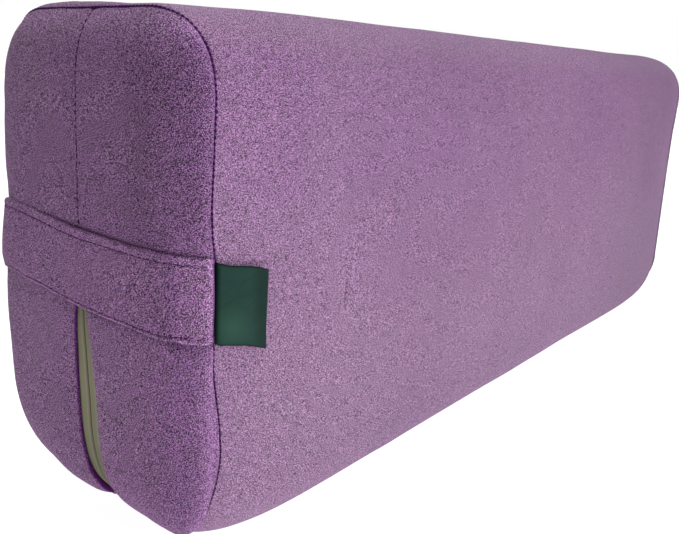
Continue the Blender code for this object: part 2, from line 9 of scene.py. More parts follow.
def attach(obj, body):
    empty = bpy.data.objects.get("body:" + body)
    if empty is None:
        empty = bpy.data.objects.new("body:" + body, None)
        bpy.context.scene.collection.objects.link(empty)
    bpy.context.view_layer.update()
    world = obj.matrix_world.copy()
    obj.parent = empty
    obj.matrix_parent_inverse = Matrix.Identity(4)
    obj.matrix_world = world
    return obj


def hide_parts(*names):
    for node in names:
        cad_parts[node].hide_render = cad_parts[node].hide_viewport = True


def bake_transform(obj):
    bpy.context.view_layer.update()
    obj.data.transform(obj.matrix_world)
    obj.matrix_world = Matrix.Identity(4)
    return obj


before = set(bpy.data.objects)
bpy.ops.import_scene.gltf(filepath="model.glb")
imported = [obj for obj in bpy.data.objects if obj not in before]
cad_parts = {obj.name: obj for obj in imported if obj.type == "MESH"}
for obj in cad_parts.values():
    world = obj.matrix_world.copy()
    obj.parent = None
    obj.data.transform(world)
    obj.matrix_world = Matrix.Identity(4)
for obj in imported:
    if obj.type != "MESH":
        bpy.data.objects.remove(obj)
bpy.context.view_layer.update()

# ------------------------------------------------------------------ camera
AZ, EL, ROLL = -0.8852, 0.2149, 0.0477
back = Vector((math.sin(AZ) * math.cos(EL), -math.cos(AZ) * math.cos(EL), math.sin(EL)))
right = (-back).cross(Vector((0, 0, 1))).normalized()
up = right.cross(-back)
cr, sr = math.cos(ROLL), math.sin(ROLL)
axis_x, axis_y = cr * right + sr * up, -sr * right + cr * up
cam_data = bpy.data.cameras.new("camera")
cam_data.sensor_width = 36.0
cam_data.sensor_fit = "HORIZONTAL"
cam_data.lens = 39.742
cam_data.shift_x = 0.0029
cam_data.shift_y = -0.0551
cam_data.clip_start = 0.02
cam = bpy.data.objects.new("camera", cam_data)
m = Matrix.Identity(4)
for i, v in enumerate((axis_x, axis_y, back)):
    for r in range(3):
        m[r][i] = v[r]
m.translation = Vector((-0.4849, -0.3001, 0.2271))
cam.matrix_world = m
bpy.context.scene.collection.objects.link(cam)
bpy.context.scene.camera = cam

# ------------------------------------------------------------------ dimensions, mm
# lengths are along the bolster from its middle; the frame's x is 4.2 mm further on
X_SHIFT = 4.2
HALF_LEN, HALF_WID = 294.7, 78.7
SEAM_LOW, SEAM_TOP, CORNER_R = 12.7, 248.7, 38.5
SWELL_SIDE, SWELL_TOP, CROWN_SIDE = 3.2, 1.3, 3.1
CROWN_DEPTH, CROWN_INSET, CROWN_FULL = 12.8, 34.7, 7.1
STRAP_Z, SLIT_HALF = 131.0, 4.4
ZIP_TOP, ZIP_END, TAPE_D = 150.0, 252.0, 4.7
SEAM_R = 0.72                # how round the two fabrics turn into a seam
SEAM_IN = 4.6
VIS_W, VIS_T = 37.1, 1.75    # the strap band


# ------------------------------------------------------------------ small helpers
def smooth01(a):
    a = np.clip(a, 0.0, 1.0)
    return a * a * (3 - 2 * a)


def value_noise(points, cell, seed):
    """Smooth noise from -1 to 1 at points (n, d) in mm, with one value to each cell."""
    p = np.asarray(points, float) / cell
    lo = np.floor(p).astype(np.int64)
    f = p - lo
    f = f * f * f * (f * (f * 6 - 15) + 10)
    d = p.shape[1]
    out = np.zeros(len(p))
    for corner in range(2 ** d):
        w = np.ones(len(p))
        h = np.full(len(p), seed * 7919 + 17, np.int64)
        for k in range(d):
            bit = (corner >> k) & 1
            w = w * (f[:, k] if bit else 1 - f[:, k])
            h = (h * 1103515245 + (lo[:, k] + bit) * 12345 + 1013904223) & 0x7FFFFFFF
            h = (h ^ (h >> 13)) * 1274126177 & 0x7FFFFFFF
        h = (h ^ (h >> 16)) & 0xFFFF
        out += w * (h / 32767.5 - 1.0)
    return out


def grid_quads(rows, cols, closed=False):
    n = cols if closed else cols - 1
    r, c = np.meshgrid(np.arange(rows - 1), np.arange(n), indexing="ij")
    c2 = (c + 1) % cols
    return np.stack([r * cols + c, r * cols + c2, (r + 1) * cols + c2, (r + 1) * cols + c], -1).reshape(-1, 4)


def make(name, verts, faces, material, attributes=None, flip=False):
    """A mesh object from points in mm along the bolster. attributes: {name: one value a point}."""
    verts = np.asarray(verts, float)
    if flip:
        faces = [tuple(reversed(f)) for f in (faces.tolist() if hasattr(faces, "tolist") else faces)]
    elif hasattr(faces, "tolist"):
        faces = faces.tolist()
    me = bpy.data.meshes.new(name)
    me.from_pydata(((verts + (X_SHIFT, 0, 0)) * 0.001).tolist(), [], faces)
    me.update()
    for key, values in (attributes or {}).items():
        me.attributes.new(key, "FLOAT", "POINT").data.foreach_set("value", np.asarray(values, np.float32))
    me.shade_smooth()
    ob = bpy.data.objects.new(name, me)
    bpy.context.scene.collection.objects.link(ob)
    me.materials.append(material)
    return ob


def apply_modifiers(ob):
    dg = bpy.context.evaluated_depsgraph_get()
    me = bpy.data.meshes.new_from_object(ob.evaluated_get(dg), preserve_all_data_layers=True, depsgraph=dg)
    old = ob.data
    ob.modifiers.clear()
    ob.data = me
    bpy.data.meshes.remove(old)
    me.name = ob.name


def thicken(ob, t_mm):
    """Gives a sheet its thickness, inwards, rims closed."""
    mod = ob.modifiers.new("thickness", "SOLIDIFY")
    mod.thickness = t_mm * 0.001
    mod.offset = -1.0
    mod.use_rim = True
    apply_modifiers(ob)


def merge_close(ob, dist_mm=0.02):
    mod = ob.modifiers.new("merge", "WELD")
    mod.merge_threshold = dist_mm * 0.001
    apply_modifiers(ob)


# ------------------------------------------------------------------ material building
class Nodes:
    """Short-hand for building a node tree."""

    def __init__(self, name):
        self.mat = bpy.data.materials.new(name)
        self.mat.use_nodes = True
        self.tree = self.mat.node_tree
        self.tree.nodes.clear()
        self.out = self.tree.nodes.new("ShaderNodeOutputMaterial")
        self.bsdf = self.tree.nodes.new("ShaderNodeBsdfPrincipled")
        self.link(self.bsdf.outputs[0], self.out.inputs["Surface"])

    def link(self, a, b):
        self.tree.links.new(a, b)

    def put(self, node, inputs):
        for key, v in inputs.items():
            s = node.inputs[key]
            if isinstance(v, bpy.types.NodeSocket):
                self.link(v, s)
            else:
                s.default_value = v
        return node

    def coords(self, scale=(1000.0, 1000.0, 1000.0)):
        t = self.tree.nodes.new("ShaderNodeTexCoord")
        n = self.tree.nodes.new("ShaderNodeMapping")
        n.inputs["Scale"].default_value = scale
        self.link(t.outputs["Object"], n.inputs["Vector"])
        return n.outputs[0]

    def leaning(self, lengths_mm, turn):
        """Coordinates stretched along a turned direction, one unit to each of the lengths."""
        t = self.tree.nodes.new("ShaderNodeTexCoord")
        n = self.tree.nodes.new("ShaderNodeMapping")
        n.vector_type = "TEXTURE"
        n.inputs["Rotation"].default_value = turn
        n.inputs["Scale"].default_value = tuple(v * 0.001 for v in lengths_mm)
        self.link(t.outputs["Object"], n.inputs["Vector"])
        return n.outputs[0]

    def noise(self, vec, scale, detail=2.0, rough=0.5, distortion=0.0):
        n = self.tree.nodes.new("ShaderNodeTexNoise")
        self.put(n, {"Vector": vec, "Scale": scale, "Detail": detail, "Roughness": rough, "Distortion": distortion})
        return n.outputs["Fac"]

    def voronoi(self, vec, scale, feature="F1", randomness=1.0):
        n = self.tree.nodes.new("ShaderNodeTexVoronoi")
        n.feature = feature
        self.put(n, {"Vector": vec, "Scale": scale, "Randomness": randomness})
        return n.outputs["Distance"]

    def wave(self, vec, scale, direction="X", distortion=0.0, detail=0.0):
        n = self.tree.nodes.new("ShaderNodeTexWave")
        n.wave_type = "BANDS"
        n.bands_direction = direction
        self.put(n, {"Vector": vec, "Scale": scale, "Distortion": distortion, "Detail": detail})
        return n.outputs["Fac"]

    def math(self, op, a, b=0.0, clamp=False):
        n = self.tree.nodes.new("ShaderNodeMath")
        n.operation = op
        n.use_clamp = clamp
        self.put(n, {0: a, 1: b})
        return n.outputs[0]

    def remap(self, v, a, b, c, d, smooth=False):
        n = self.tree.nodes.new("ShaderNodeMapRange")
        n.interpolation_type = "SMOOTHSTEP" if smooth else "LINEAR"
        self.put(n, {"Value": v, "From Min": a, "From Max": b, "To Min": c, "To Max": d})
        return n.outputs["Result"]

    def ramp(self, v, stops, interpolation="LINEAR"):
        n = self.tree.nodes.new("ShaderNodeValToRGB")
        n.color_ramp.interpolation = interpolation
        e = n.color_ramp.elements
        while len(e) < len(stops):
            e.new(0.5)
        for el, (pos, col) in zip(e, stops):
            el.position = pos
            el.color = (*col, 1.0)
        self.link(v, n.inputs["Fac"])
        return n.outputs["Color"]

    def mix(self, fac, a, b, mode="MIX"):
        n = self.tree.nodes.new("ShaderNodeMix")
        n.data_type = "RGBA"
        n.blend_type = mode
        n.clamp_result = False
        for sock, v in ((n.inputs[0], fac), (n.inputs[6], a), (n.inputs[7], b)):
            if isinstance(v, bpy.types.NodeSocket):
                self.link(v, sock)
            elif sock == n.inputs[0]:
                sock.default_value = v
            else:
                sock.default_value = (*v, 1.0)
        return n.outputs[2]

    def scaled(self, colour, factor):
        n = self.tree.nodes.new("ShaderNodeVectorMath")
        n.operation = "SCALE"
        self.link(colour, n.inputs[0])
        self.link(factor, n.inputs["Scale"])
        return n.outputs[0]

    def attribute(self, name):
        n = self.tree.nodes.new("ShaderNodeAttribute")
        n.attribute_name = name
        return n.outputs["Fac"]

    def bump(self, height, strength, distance_mm, normal=None):
        n = self.tree.nodes.new("ShaderNodeBump")
        n.inputs["Strength"].default_value = strength
        n.inputs["Distance"].default_value = distance_mm * 0.001
        self.link(height, n.inputs["Height"])
        if normal is not None:
            self.link(normal, n.inputs["Normal"])
        return n.outputs["Normal"]

    def finish(self, **inputs):
        self.put(self.bsdf, inputs)
        return self.mat


# the colour that paints shade into seams, hollows, lip walls and stitch holes
SHADE_VIOLET = (0.094, 0.004, 0.140)


def velour(name, deep, soft, shade_violet, grain, power, light_level, lengths, turn):
    """Short soft pile: fine tufts under a millimetre long. The mesh carries painted light for each point: the
    nap's painted sheen from 0 deep to 1 pale (soft), a painted violet shade, a factor that paints light and shade, and
    painted shade in the seams."""
    k = Nodes(name)
    p = k.coords()
    tuft = k.remap(k.noise(k.leaning(lengths, turn), 1.0, 0.0, 0.5), 0.34, 0.66, 0.0, 1.0)
    fine = k.remap(k.noise(p, 4.3, 0.0, 0.5), 0.32, 0.68, 0.0, 1.0)
    height = k.math("ADD", k.math("MULTIPLY", tuft, 0.60), k.math("MULTIPLY", fine, 0.40))
    # the pile is brushed smoother towards the plain end
    along = k.tree.nodes.new("ShaderNodeSeparateXYZ")
    k.link(p, along.inputs[0])
    rough = k.remap(along.outputs["X"], 40.0, 270.0, 1.0, 0.32, smooth=True)
    height = k.math("ADD", k.math("MULTIPLY", k.math("SUBTRACT", height, 0.5), rough), 0.5)
    contrast = k.math("POWER", k.remap(height, 0.20, 0.80, 1.0 - grain, 1.0 + grain), power)
    patch = k.remap(k.noise(p, 0.02, 2.0, 0.5, 0.3), 0.3, 0.7, 0.97 * light_level, 1.03 * light_level)
    # the nap's painted sheen: the pile's lie, with the sheen the light gives it painted in as a paler colour
    colour = k.mix(k.attribute("nap_sheen"), deep, soft)
    colour = k.mix(k.attribute("violet_shade"), colour, shade_violet)
    colour = k.scaled(colour, k.math("MULTIPLY", k.math("MULTIPLY", contrast, patch), k.attribute("painted_light")))
    # painted shade in the seams and hollows
    colour = k.mix(k.remap(k.attribute("painted_shade"), 0.0, 1.0, 0.0, 0.92), colour, SHADE_VIOLET)
    n = k.bump(height, 0.6, 0.20)
    return k.finish(**{"Base Color": colour, "Roughness": 0.95, "Normal": n, "Specular IOR Level": 0.12,
                       "Sheen Weight": 0.10, "Sheen Roughness": 0.45, "Sheen Tint": (0.85, 0.62, 0.92, 1.0)})


# the end and strap are the wrap's velour given darker, more saturated colours, a lower light level and stronger grain:
# painted shade
END_SHADE_COLOURS = ((0.300, 0.146, 0.322), (0.300, 0.175, 0.314), (0.300, 0.149, 0.342))
mat_velour = velour("velour", (0.300, 0.161, 0.314), (0.330, 0.204, 0.335), (0.300, 0.142, 0.352),
                    0.62, 1.9, 0.952, (0.50, 0.28, 0.28), (0.0, math.radians(-20), 0.0))
mat_velour_end = velour("velour_end", *END_SHADE_COLOURS, 0.95, 2.2, 0.835, (0.28, 0.50, 0.28), (math.radians(25), 0.0, 0.0))
mat_strap = velour("velour_strap", *END_SHADE_COLOURS, 0.97, 2.4, 0.76, (0.28, 0.50, 0.28), (math.radians(25), 0.0, 0.0))


def thread_material(name, colour):
    k = Nodes(name)
    p = k.coords()
    w = k.noise(p, 3.0, 2.0, 0.6)
    col = k.mix(w, tuple(c * 0.7 for c in colour), tuple(c * 1.25 for c in colour))
    return k.finish(**{"Base Color": col, "Roughness": 0.7, "Normal": k.bump(w, 0.4, 0.1), "Specular IOR Level": 0.12,
                       "Sheen Weight": 0.02})


# seam thread, coloured near black violet so that it also paints the shade of the seam gap
mat_seam_thread_shade = thread_material("thread_dark", (0.048, 0.001, 0.078))
# strap thread: this dark copy paints shaded stitches, the pale one below paints lit stitches and lit lip folds
mat_thread_shaded = thread_material("thread_strap", (0.038, 0.013, 0.046))
mat_thread_highlight = thread_material("thread_light", (0.46, 0.36, 0.44))


def satin_material():
    k = Nodes("label_satin")
    p = k.coords()
    ribs = k.wave(p, 3.2, "Z", 0.25, 1.0)
    floats = k.noise(k.coords((350.0, 350.0, 2600.0)), 1.0, 2.0, 0.6)
    mott = k.noise(p, 0.09, 3.0, 0.6, 0.4)
    col = k.mix(k.remap(mott, 0.3, 0.7, 0.0, 1.0), (0.0115, 0.040, 0.033), (0.0165, 0.054, 0.044))
    col = k.mix(k.remap(floats, 0.3, 0.7, 0.0, 0.6), col, (0.021, 0.064, 0.050))
    # painted highlight: a lit patch low on the label's free half
    painted_highlight_mask = k.attribute("lit")
    col = k.mix(k.remap(painted_highlight_mask, 0.0, 1.0, 0.0, 0.9), col, (0.033, 0.094, 0.066))
    # dark hems along top and bottom edges, with painted shade at the sewn end, over the right part and on the back leaf
    hem_and_shade = k.attribute("hem_and_shade")
    col = k.mix(k.remap(hem_and_shade, 0.0, 1.0, 0.0, 0.9), col, (0.004, 0.009, 0.009))
    h = k.math("ADD", k.math("MULTIPLY", ribs, 0.5), k.math("MULTIPLY", floats, 0.5))
    return k.finish(**{"Base Color": col, "Roughness": k.remap(floats, 0.3, 0.7, 0.42, 0.55),
                       "Normal": k.bump(h, 0.45, 0.14), "Specular IOR Level": 0.08})


def tape_material():
    k = Nodes("zip_tape")
    p = k.coords()
    weave = k.attribute("weave")
    tooth = k.math("SINE", k.math("MULTIPLY", weave, 2 * math.pi / 0.9))
    rib = k.math("SINE", k.math("MULTIPLY", k.attribute("across"), 2 * math.pi / 0.75))
    both = k.math("MULTIPLY", tooth, rib)
    n = k.noise(p, 1.6, 3.0, 0.6)
    h = k.math("ADD", k.remap(both, -1, 1, 0.0, 0.6), k.math("MULTIPLY", n, 0.4))
    col = k.mix(h, (0.198, 0.186, 0.116), (0.360, 0.338, 0.218))
    mott = k.noise(p, 0.12, 2.0, 0.5)
    col = k.mix(k.remap(mott, 0.3, 0.7, 0.0, 0.35), col, (0.228, 0.228, 0.146))
    # painted shade on the tapes: the gap between them, a groove line, and shadow under the strap and where they turn
    # under
    col = k.mix(k.attribute("painted_shade"), col, (0.022, 0.020, 0.014))
    return k.finish(**{"Base Color": col, "Roughness": 0.78, "Normal": k.bump(h, 0.5, 0.16),
                       "Specular IOR Level": 0.3, "Sheen Weight": 0.1})


def coil_material():
    k = Nodes("zip_coil")
    p = k.coords()
    ribs = k.wave(p, 0.65, "X", 0.0)
    col = k.mix(ribs, (0.05, 0.05, 0.035), (0.24, 0.23, 0.16))
    return k.finish(**{"Base Color": col, "Roughness": 0.42, "Normal": k.bump(ribs, 0.8, 0.4)})


def metal_material():
    k = Nodes("zip_metal")
    p = k.coords((900.0, 3000.0, 3000.0))
    n = k.noise(p, 0.8, 3.0, 0.6)
    big = k.noise(k.coords(), 0.25, 2.0, 0.5)
    col = k.mix(n, (0.40, 0.385, 0.35), (0.56, 0.54, 0.49))
    col = k.mix(k.remap(big, 0.4, 0.65, 0.0, 0.5), col, (0.30, 0.285, 0.26))
    return k.finish(**{"Base Color": col, "Metallic": 1.0, "Roughness": k.remap(n, 0.3, 0.7, 0.26, 0.42),
                       "Normal": k.bump(n, 0.15, 0.05)})


def foam_material():
    k = Nodes("foam")
    p = k.coords()
    cells = k.voronoi(p, 0.9)
    big = k.noise(p, 0.05, 2.0, 0.5)
    col = k.mix(cells, (0.62, 0.58, 0.42), (0.88, 0.85, 0.70))
    col = k.mix(k.remap(big, 0.3, 0.7, 0.0, 0.4), col, (0.80, 0.75, 0.58))
    return k.finish(**{"Base Color": col, "Roughness": 0.95, "Normal": k.bump(cells, 0.7, 0.5)})


def wadding_material():
    k = Nodes("wadding")
    p = k.coords()
    fibres = k.noise(p, 0.35, 6.0, 0.75, 2.5)
    col = k.mix(fibres, (0.74, 0.74, 0.72), (0.95, 0.95, 0.94))
    return k.finish(**{"Base Color": col, "Roughness": 1.0, "Normal": k.bump(fibres, 0.8, 1.2),
                       "Sheen Weight": 0.2})


def lining_material():
    k = Nodes("lining")
    p = k.coords()
    wx, wz = k.wave(p, 0.75, "X"), k.wave(p, 0.75, "Z")
    w = k.math("MULTIPLY", wx, wz)
    n = k.noise(p, 0.08, 3.0, 0.6)
    col = k.mix(w, (0.62, 0.60, 0.56), (0.83, 0.81, 0.77))
    col = k.mix(k.remap(n, 0.35, 0.65, 0.0, 0.3), col, (0.72, 0.69, 0.63))
    return k.finish(**{"Base Color": col, "Roughness": 0.9, "Normal": k.bump(w, 0.5, 0.25)})


# ------------------------------------------------------------------ body form
def fullness(x):
    return 1.0 - np.clip((np.abs(x) / HALF_LEN - 0.5) / 0.5, 0.0, 1.0) ** 6


def underside(x):
    return SEAM_LOW * (1.0 - fullness(x))


T_TABLE = np.linspace(0, math.pi / 2, 500)
ARC_TABLE = np.r_[0, np.cumsum(np.hypot(np.diff(CROWN_DEPTH * np.sin(T_TABLE)),
                                        np.diff(CROWN_INSET * (1 - np.cos(T_TABLE)))))]
ARC_END = float(ARC_TABLE[-1])


def half_columns(nb, na, ns, nt):
    """Section points from the underside's middle up one side to the top's middle, as factors:
    y = (hw - r) a + r c and z = lo + r + (hi - lo - 2 r) b + r s. (c, s) is also the normal."""
    out = [(k / nb, 0.0, 0.0, -1.0) for k in range(nb)]
    out += [(1.0, math.cos(t), 0.0, math.sin(t)) for t in np.linspace(-math.pi / 2, 0, na + 1)[:-1]]
    out += [(1.0, 1.0, k / ns, 0.0) for k in range(ns)]
    out += [(1.0, math.cos(t), 1.0, math.sin(t)) for t in np.linspace(0, math.pi / 2, na + 1)[:-1]]
    out += [(1.0 - k / nt, 0.0, 1.0, 1.0) for k in range(nt + 1)]
    return np.array(out)


COLS = half_columns(13, 20, 54, 13)
NC = len(COLS)
CA, CC, CB, CS = (COLS[:, k][None, :] for k in range(4))


def form(a):
    """The bolster's outer form near an end, for a (rows, columns) array of distances in mm from the
    ring line: negative along the body, positive over the dome. Gives the distance from the middle,
    y, z and the normal's parts along the length and across it."""
    t = np.interp(a, ARC_TABLE, T_TABLE)
    inset = CROWN_INSET * (1 - np.cos(t))
    length = HALF_LEN + np.where(a < 0, a, CROWN_DEPTH * np.sin(t))
    f = np.where(a < 0, fullness(length), 0.0)
    hw = HALF_WID - inset + CROWN_FULL * np.sin(t) * np.cos(t) + SWELL_SIDE * f
    lo, hi = SEAM_LOW * (1 - f) + inset, SEAM_TOP + SWELL_TOP * f - inset
    r = CORNER_R - inset / 2
    y = (hw - r) * CA + r * CC
    z = lo + r + (hi - lo - 2 * r) * CB + r * CS
    w = (z - (lo + hi) / 2) / ((hi - lo) / 2)
    y = y + CROWN_SIDE * f * (1 - w * w) * np.clip(y / hw, 0, 1) ** 6
    nx, nr = CROWN_INSET * np.sin(t), CROWN_DEPTH * np.cos(t)
    n = np.hypot(nx, nr)
    return length, y, z, nx / n, nr / n, hw, lo


def zip_route():
    p = [(-(HALF_LEN + CROWN_DEPTH), z) for z in np.linspace(ZIP_TOP, SEAM_LOW + CROWN_INSET, 60)]
    p += [(-(HALF_LEN + CROWN_DEPTH * math.sin(t)), SEAM_LOW + CROWN_INSET * (1 - math.cos(t)))
          for t in np.linspace(math.pi / 2, 0, 60)]
    for x in np.linspace(-HALF_LEN, ZIP_END, 600):
        a = min(max((-x - 235) / 30, 0.0), 1.0)
        p.append((x, float(underside(x)) * a * a * (3 - 2 * a)))
    p = np.array(p)
    s = np.r_[0, np.cumsum(np.linalg.norm(np.diff(p, axis=0), axis=1))]
    q = np.arange(0, s[-1], 1.0)
    r = np.stack([np.interp(q, s, p[:, k]) for k in (0, 1)], 1)
    n = 30
    kernel = np.exp(-0.5 * (np.arange(-n, n + 1) / 9.0) ** 2)
    kernel /= kernel.sum()
    ends = np.arange(1, n + 1)[:, None]
    pad = np.vstack([r[0] - (r[1] - r[0]) * ends[::-1], r, r[-1] + (r[-1] - r[-2]) * ends])
    c = np.stack([np.convolve(pad[:, i], kernel, "valid") for i in (0, 1)], 1)
    t = np.gradient(c, axis=0)
    t /= np.linalg.norm(t, axis=1)[:, None]
    return c, np.column_stack([-t[:, 1], t[:, 0]])


ROUTE, INWARD = zip_route()
RING_AT = int(np.argmax(ROUTE[:, 0] > -HALF_LEN))
# the tapes lie just under the lips on the end, deeper along the underside
TAPE_AT = 2.0 + (TAPE_D + 0.1 - 2.0) * smooth01((np.arange(len(ROUTE)) - (RING_AT - 14)) / 60)
_k9 = np.exp(-0.5 * (np.arange(-12, 13) / 4.0) ** 2)
SWAY = np.interp(np.arange(len(ROUTE)) - RING_AT,
                 [-140, -125, -112, -104, -96, -77, -64, -50, -42, -30, -20, -12, 0, 10, 25, 40, 58],
                 [0.0, 0.2, 0.9, 0.9, 0.7, -1.2, -2.1, -3.1, -3.8, -5.2, -7.3, -9.2, -11.0, -10.8, -8.0, -4.0, 0.0])
SWAY = np.convolve(np.pad(SWAY, 12, "edge"), _k9 / _k9.sum(), "valid")


def nearest_route(x, z):
    out = np.zeros(len(x), int)
    for start in range(0, len(x), 2000):
        p = np.column_stack([x[start:start + 2000], z[start:start + 2000]])
        out[start:start + 2000] = ((p[:, None, :] - ROUTE[None, :, :]) ** 2).sum(2).argmin(1)
    return out


def clear_of_zip(v, gap=0.3, half=13.5):
    """Keeps points near the middle from reaching down to the zip tapes."""
    v = v.copy()
    ids = np.where((abs(v[:, 1]) < half) & (v[:, 0] < ZIP_END + 3) & (v[:, 2] < ZIP_TOP + 4)
                   & ((v[:, 0] < -262) | (v[:, 2] < 25)))[0]
    k = nearest_route(v[ids, 0], v[ids, 2])
    depth = ((v[ids][:, (0, 2)] - ROUTE[k]) * INWARD[k]).sum(1)
    over = np.maximum(depth - (TAPE_AT[k] - gap), 0.0)
    v[ids, 0] -= over * INWARD[k, 0]
    v[ids, 2] -= over * INWARD[k, 1]
    return v


def zip_sway(v):
    """The zip's line wanders towards the label's side, most where it turns under the bolster."""
    v = v.copy()
    ids = np.where((abs(v[:, 1]) < 75) & (v[:, 0] < -228) & (v[:, 2] < 135) & ((v[:, 2] < 40) | (v[:, 0] < -285)))[0]
    k = nearest_route(v[ids, 0], v[ids, 2])
    v[ids, 1] += SWAY[k] * np.exp(-(v[ids, 1] / 28) ** 2)
    return v


def slit_half(x):
    return SLIT_HALF + (0.12 - SLIT_HALF) * smooth01((x - 247.5) / 4.2)


# tables against height, every half millimetre
_z = np.arange(0.0, 262.0, 0.5)


def table(z, s, spread_mm=3.0):
    n = int(8 * spread_mm)
    k = np.exp(-0.5 * (np.arange(-n, n + 1) * 0.5 / spread_mm) ** 2)
    return np.convolve(np.pad(np.interp(_z, z, s), n, "edge"), k / k.sum(), "valid")


GAPE = table([0, 12.7, 20, 24, 32, 52, 64, 72, 83, 95, 104, 111, 138, 150],
             [4.5, 4.5, 5.5, 7.0, 7.5, 7.4, 7.8, 7.6, 7.1, 6.2, 5.4, 4.3, 0.10, 0.10], 2.5)


def gape(z):
    """Half opening of the strap end's middle seam, against height."""
    return np.interp(z, _z, GAPE)


def roll_depth(d, r=SEAM_R):
    """How deep the surface lies at a distance d from a seam that it turns into."""
    e = np.clip(r - d, 0, r)
    return 1.5 * (r - np.sqrt(np.maximum(r * r - e * e, 0.0)))


# how far the ring seam lies towards the body, against height: strap end, label's side; then its other side
WANDER = {
    (-1, -1): table([12.7, 30, 36.5, 43.7, 51.2, 61.1, 71.1, 81, 91, 101, 113, 131, 146, 149.5, 152.5, 156, 162, 170, 180,
                     190, 200, 210, 218, 225, 232, 238, 243, 246, 248],
                    [0, 0, -0.2, 0.9, 2.3, 3.7, 3.5, 2.5, 1.0, -0.3, 0, 0.4, 0.6, 0.9, -0.8, -1.9, -2.4, -2.9, -2.4,
                     -1.9, -1.4, -0.9, -0.5, 0.2, 0.7, 0.2, -1.6, -3.4, -4.4], 1.7),
    (-1, 1): table([12.7, 120, 150, 180, 222, 236, 243, 246, 248], [0, 0.4, 0.2, -0.5, -0.8, -2.0, -3.2, -4.0, -4.4]),
    (1, -1): table([12.7, 30, 60, 130, 200, 235, 248], [0, -2.0, -3.2, -3.4, -3.2, -2.6, -1.5]),
    (1, 1): table([12.7, 60, 130, 200, 248], [0, -0.6, 0.3, -0.5, -1.5]),
}
# how far the stuffing pushes the cover out beside a ring seam, against height
STUFFING = {
    (-1, 1): table([0, 12, 18, 26, 33, 40, 50, 61, 75, 85, 97, 110, 122, 129, 137, 145, 155, 162, 168, 180, 190, 198, 210, 222,
                    230, 250],
                   [-1.2, -1.5, -1.5, -1.0, -0.6, -0.4, 0, 0.5, 1.1, 1.7, 2.1, 1.7, 1.4, 1.0, 0.2, -0.5, -1.0, -0.8, -0.2, -0.3,
                    -0.4, -0.9, -1.1, -0.9, -0.6, -1.1], 3.5),
    (1, -1): table([0, 10, 17, 30, 43, 60, 81, 120, 150, 178, 201, 213, 225, 237, 248],
                   [-0.5, 1, 1.6, 0.8, -0.6, -0.9, -0.9, -0.9, -0.8, -0.5, 0.8, 0.9, 1.8, 2.4, 1.2], 4.0),
}


def stuffing(side, sign, z, d, y):
    """y is the distance across from the middle."""
    if side > 0 and sign > 0:
        return np.zeros(np.shape(z))
    if side < 0 and sign < 0:
        # beside the zip's turn the label's half is drawn up a little, and its low corner is full
        push = 1.1 * smooth01((42 - z) / 16) * smooth01((y - 54) / 12) - 1.2 * smooth01((32 - z) / 14) * smooth01((60 - y) / 12)
    else:
        push = np.interp(z, _z, STUFFING[(side, sign)])
    if side > 0:
        # both halves agree along the middle
        push = push * smooth01(y / 30)
    if side < 0 and sign > 0:
        # and the other half hangs lower
        low = smooth01((34 - z) / 8) * (1 - smooth01((y - 24) / 26))
        push = push * (1 - low) + 1.3 * low
        push = push * (1 - smooth01((z - 241) / 7))
    return push * np.exp(-(d / 42.0) ** 2)


# where the strap's middle runs, against the share of its length from the label's side
STRAP_LINE = ([0, 0.04, 0.08, 0.20, 0.45, 0.52, 0.58, 0.65, 0.72, 0.79, 0.85, 0.91, 0.96, 1],
              [131.7, 131.8, 131.5, 131.5, 131.4, 131.8, 132.6, 133.8, 134.9, 135.8, 136.1, 134.7, 132.3, 130.5])


def crown_outline():
    """The domed end's outline seen from above, label's side first: (x, y), outward normals, arc length,
    and how far the strap draws it flat across the corner beside the label."""
    half = []
    for t in np.linspace(0, math.pi / 2, 24):
        i = CROWN_INSET * (1 - math.cos(t))
        half.append((-(HALF_LEN + CROWN_DEPTH * math.sin(t)),
                     -(HALF_WID - i + CROWN_FULL * math.sin(t) * math.cos(t))))
    p = np.array(half + [(x, -y) for x, y in half[::-1]])
    s = np.r_[0, np.cumsum(np.linalg.norm(np.diff(p, axis=0), axis=1))]
    q = np.linspace(0, s[-1], 400)
    p = np.stack([np.interp(q, s, p[:, k]) for k in (0, 1)], 1)
    t = np.gradient(p, axis=0)
    kernel = np.ones(31) / 31
    t = np.stack([np.convolve(np.pad(t[:, i], 15, "edge"), kernel, "valid") for i in (0, 1)], 1)
    t /= np.linalg.norm(t, axis=1)[:, None]
    n = np.column_stack([-t[:, 1], t[:, 0]])
    if n[200, 0] > 0:
        n = -n
    i0, i1 = np.searchsorted(q, 3.6), np.searchsorted(q, 24.0)
    share = np.clip((q - q[i0]) / (q[i1] - q[i0]), 0, 1)
    chord = p[i0] + (p[i1] - p[i0]) * share[:, None]
    pull = ((p - chord) * n).sum(1) * ((share > 0) & (share < 1)) * 0.85
    pull = np.convolve(np.pad(pull, 3, "edge"), np.ones(7) / 7, "valid")
    return p, n, q, np.maximum(pull, 0.0)


OUTLINE_P, OUTLINE_N, OUTLINE_Q, PULL = crown_outline()


def strap_share(ys):
    """Share of the strap's length from the label's side, against the place across the bolster."""
    return np.interp(ys, np.maximum.accumulate(OUTLINE_P[:, 1]), OUTLINE_Q / OUTLINE_Q[-1])


def seam_sway(v):
    """The middle seam leans towards the label's side where it meets the ring seam."""
    v = v.copy()
    v[:, 1] -= 2.2 * smooth01((v[:, 2] - 230) / 16) * np.exp(-(v[:, 1] / 24) ** 2)
    return v



RING_Z = (SEAM_LOW + CORNER_R + (SEAM_TOP - SEAM_LOW - 2 * CORNER_R) * COLS[:, 2] + CORNER_R * COLS[:, 3])
RING_Y = (HALF_WID - CORNER_R) * COLS[:, 0] + CORNER_R * COLS[:, 1]
RING_ARC = np.r_[0, np.cumsum(np.hypot(np.diff(RING_Y), np.diff(RING_Z)))]


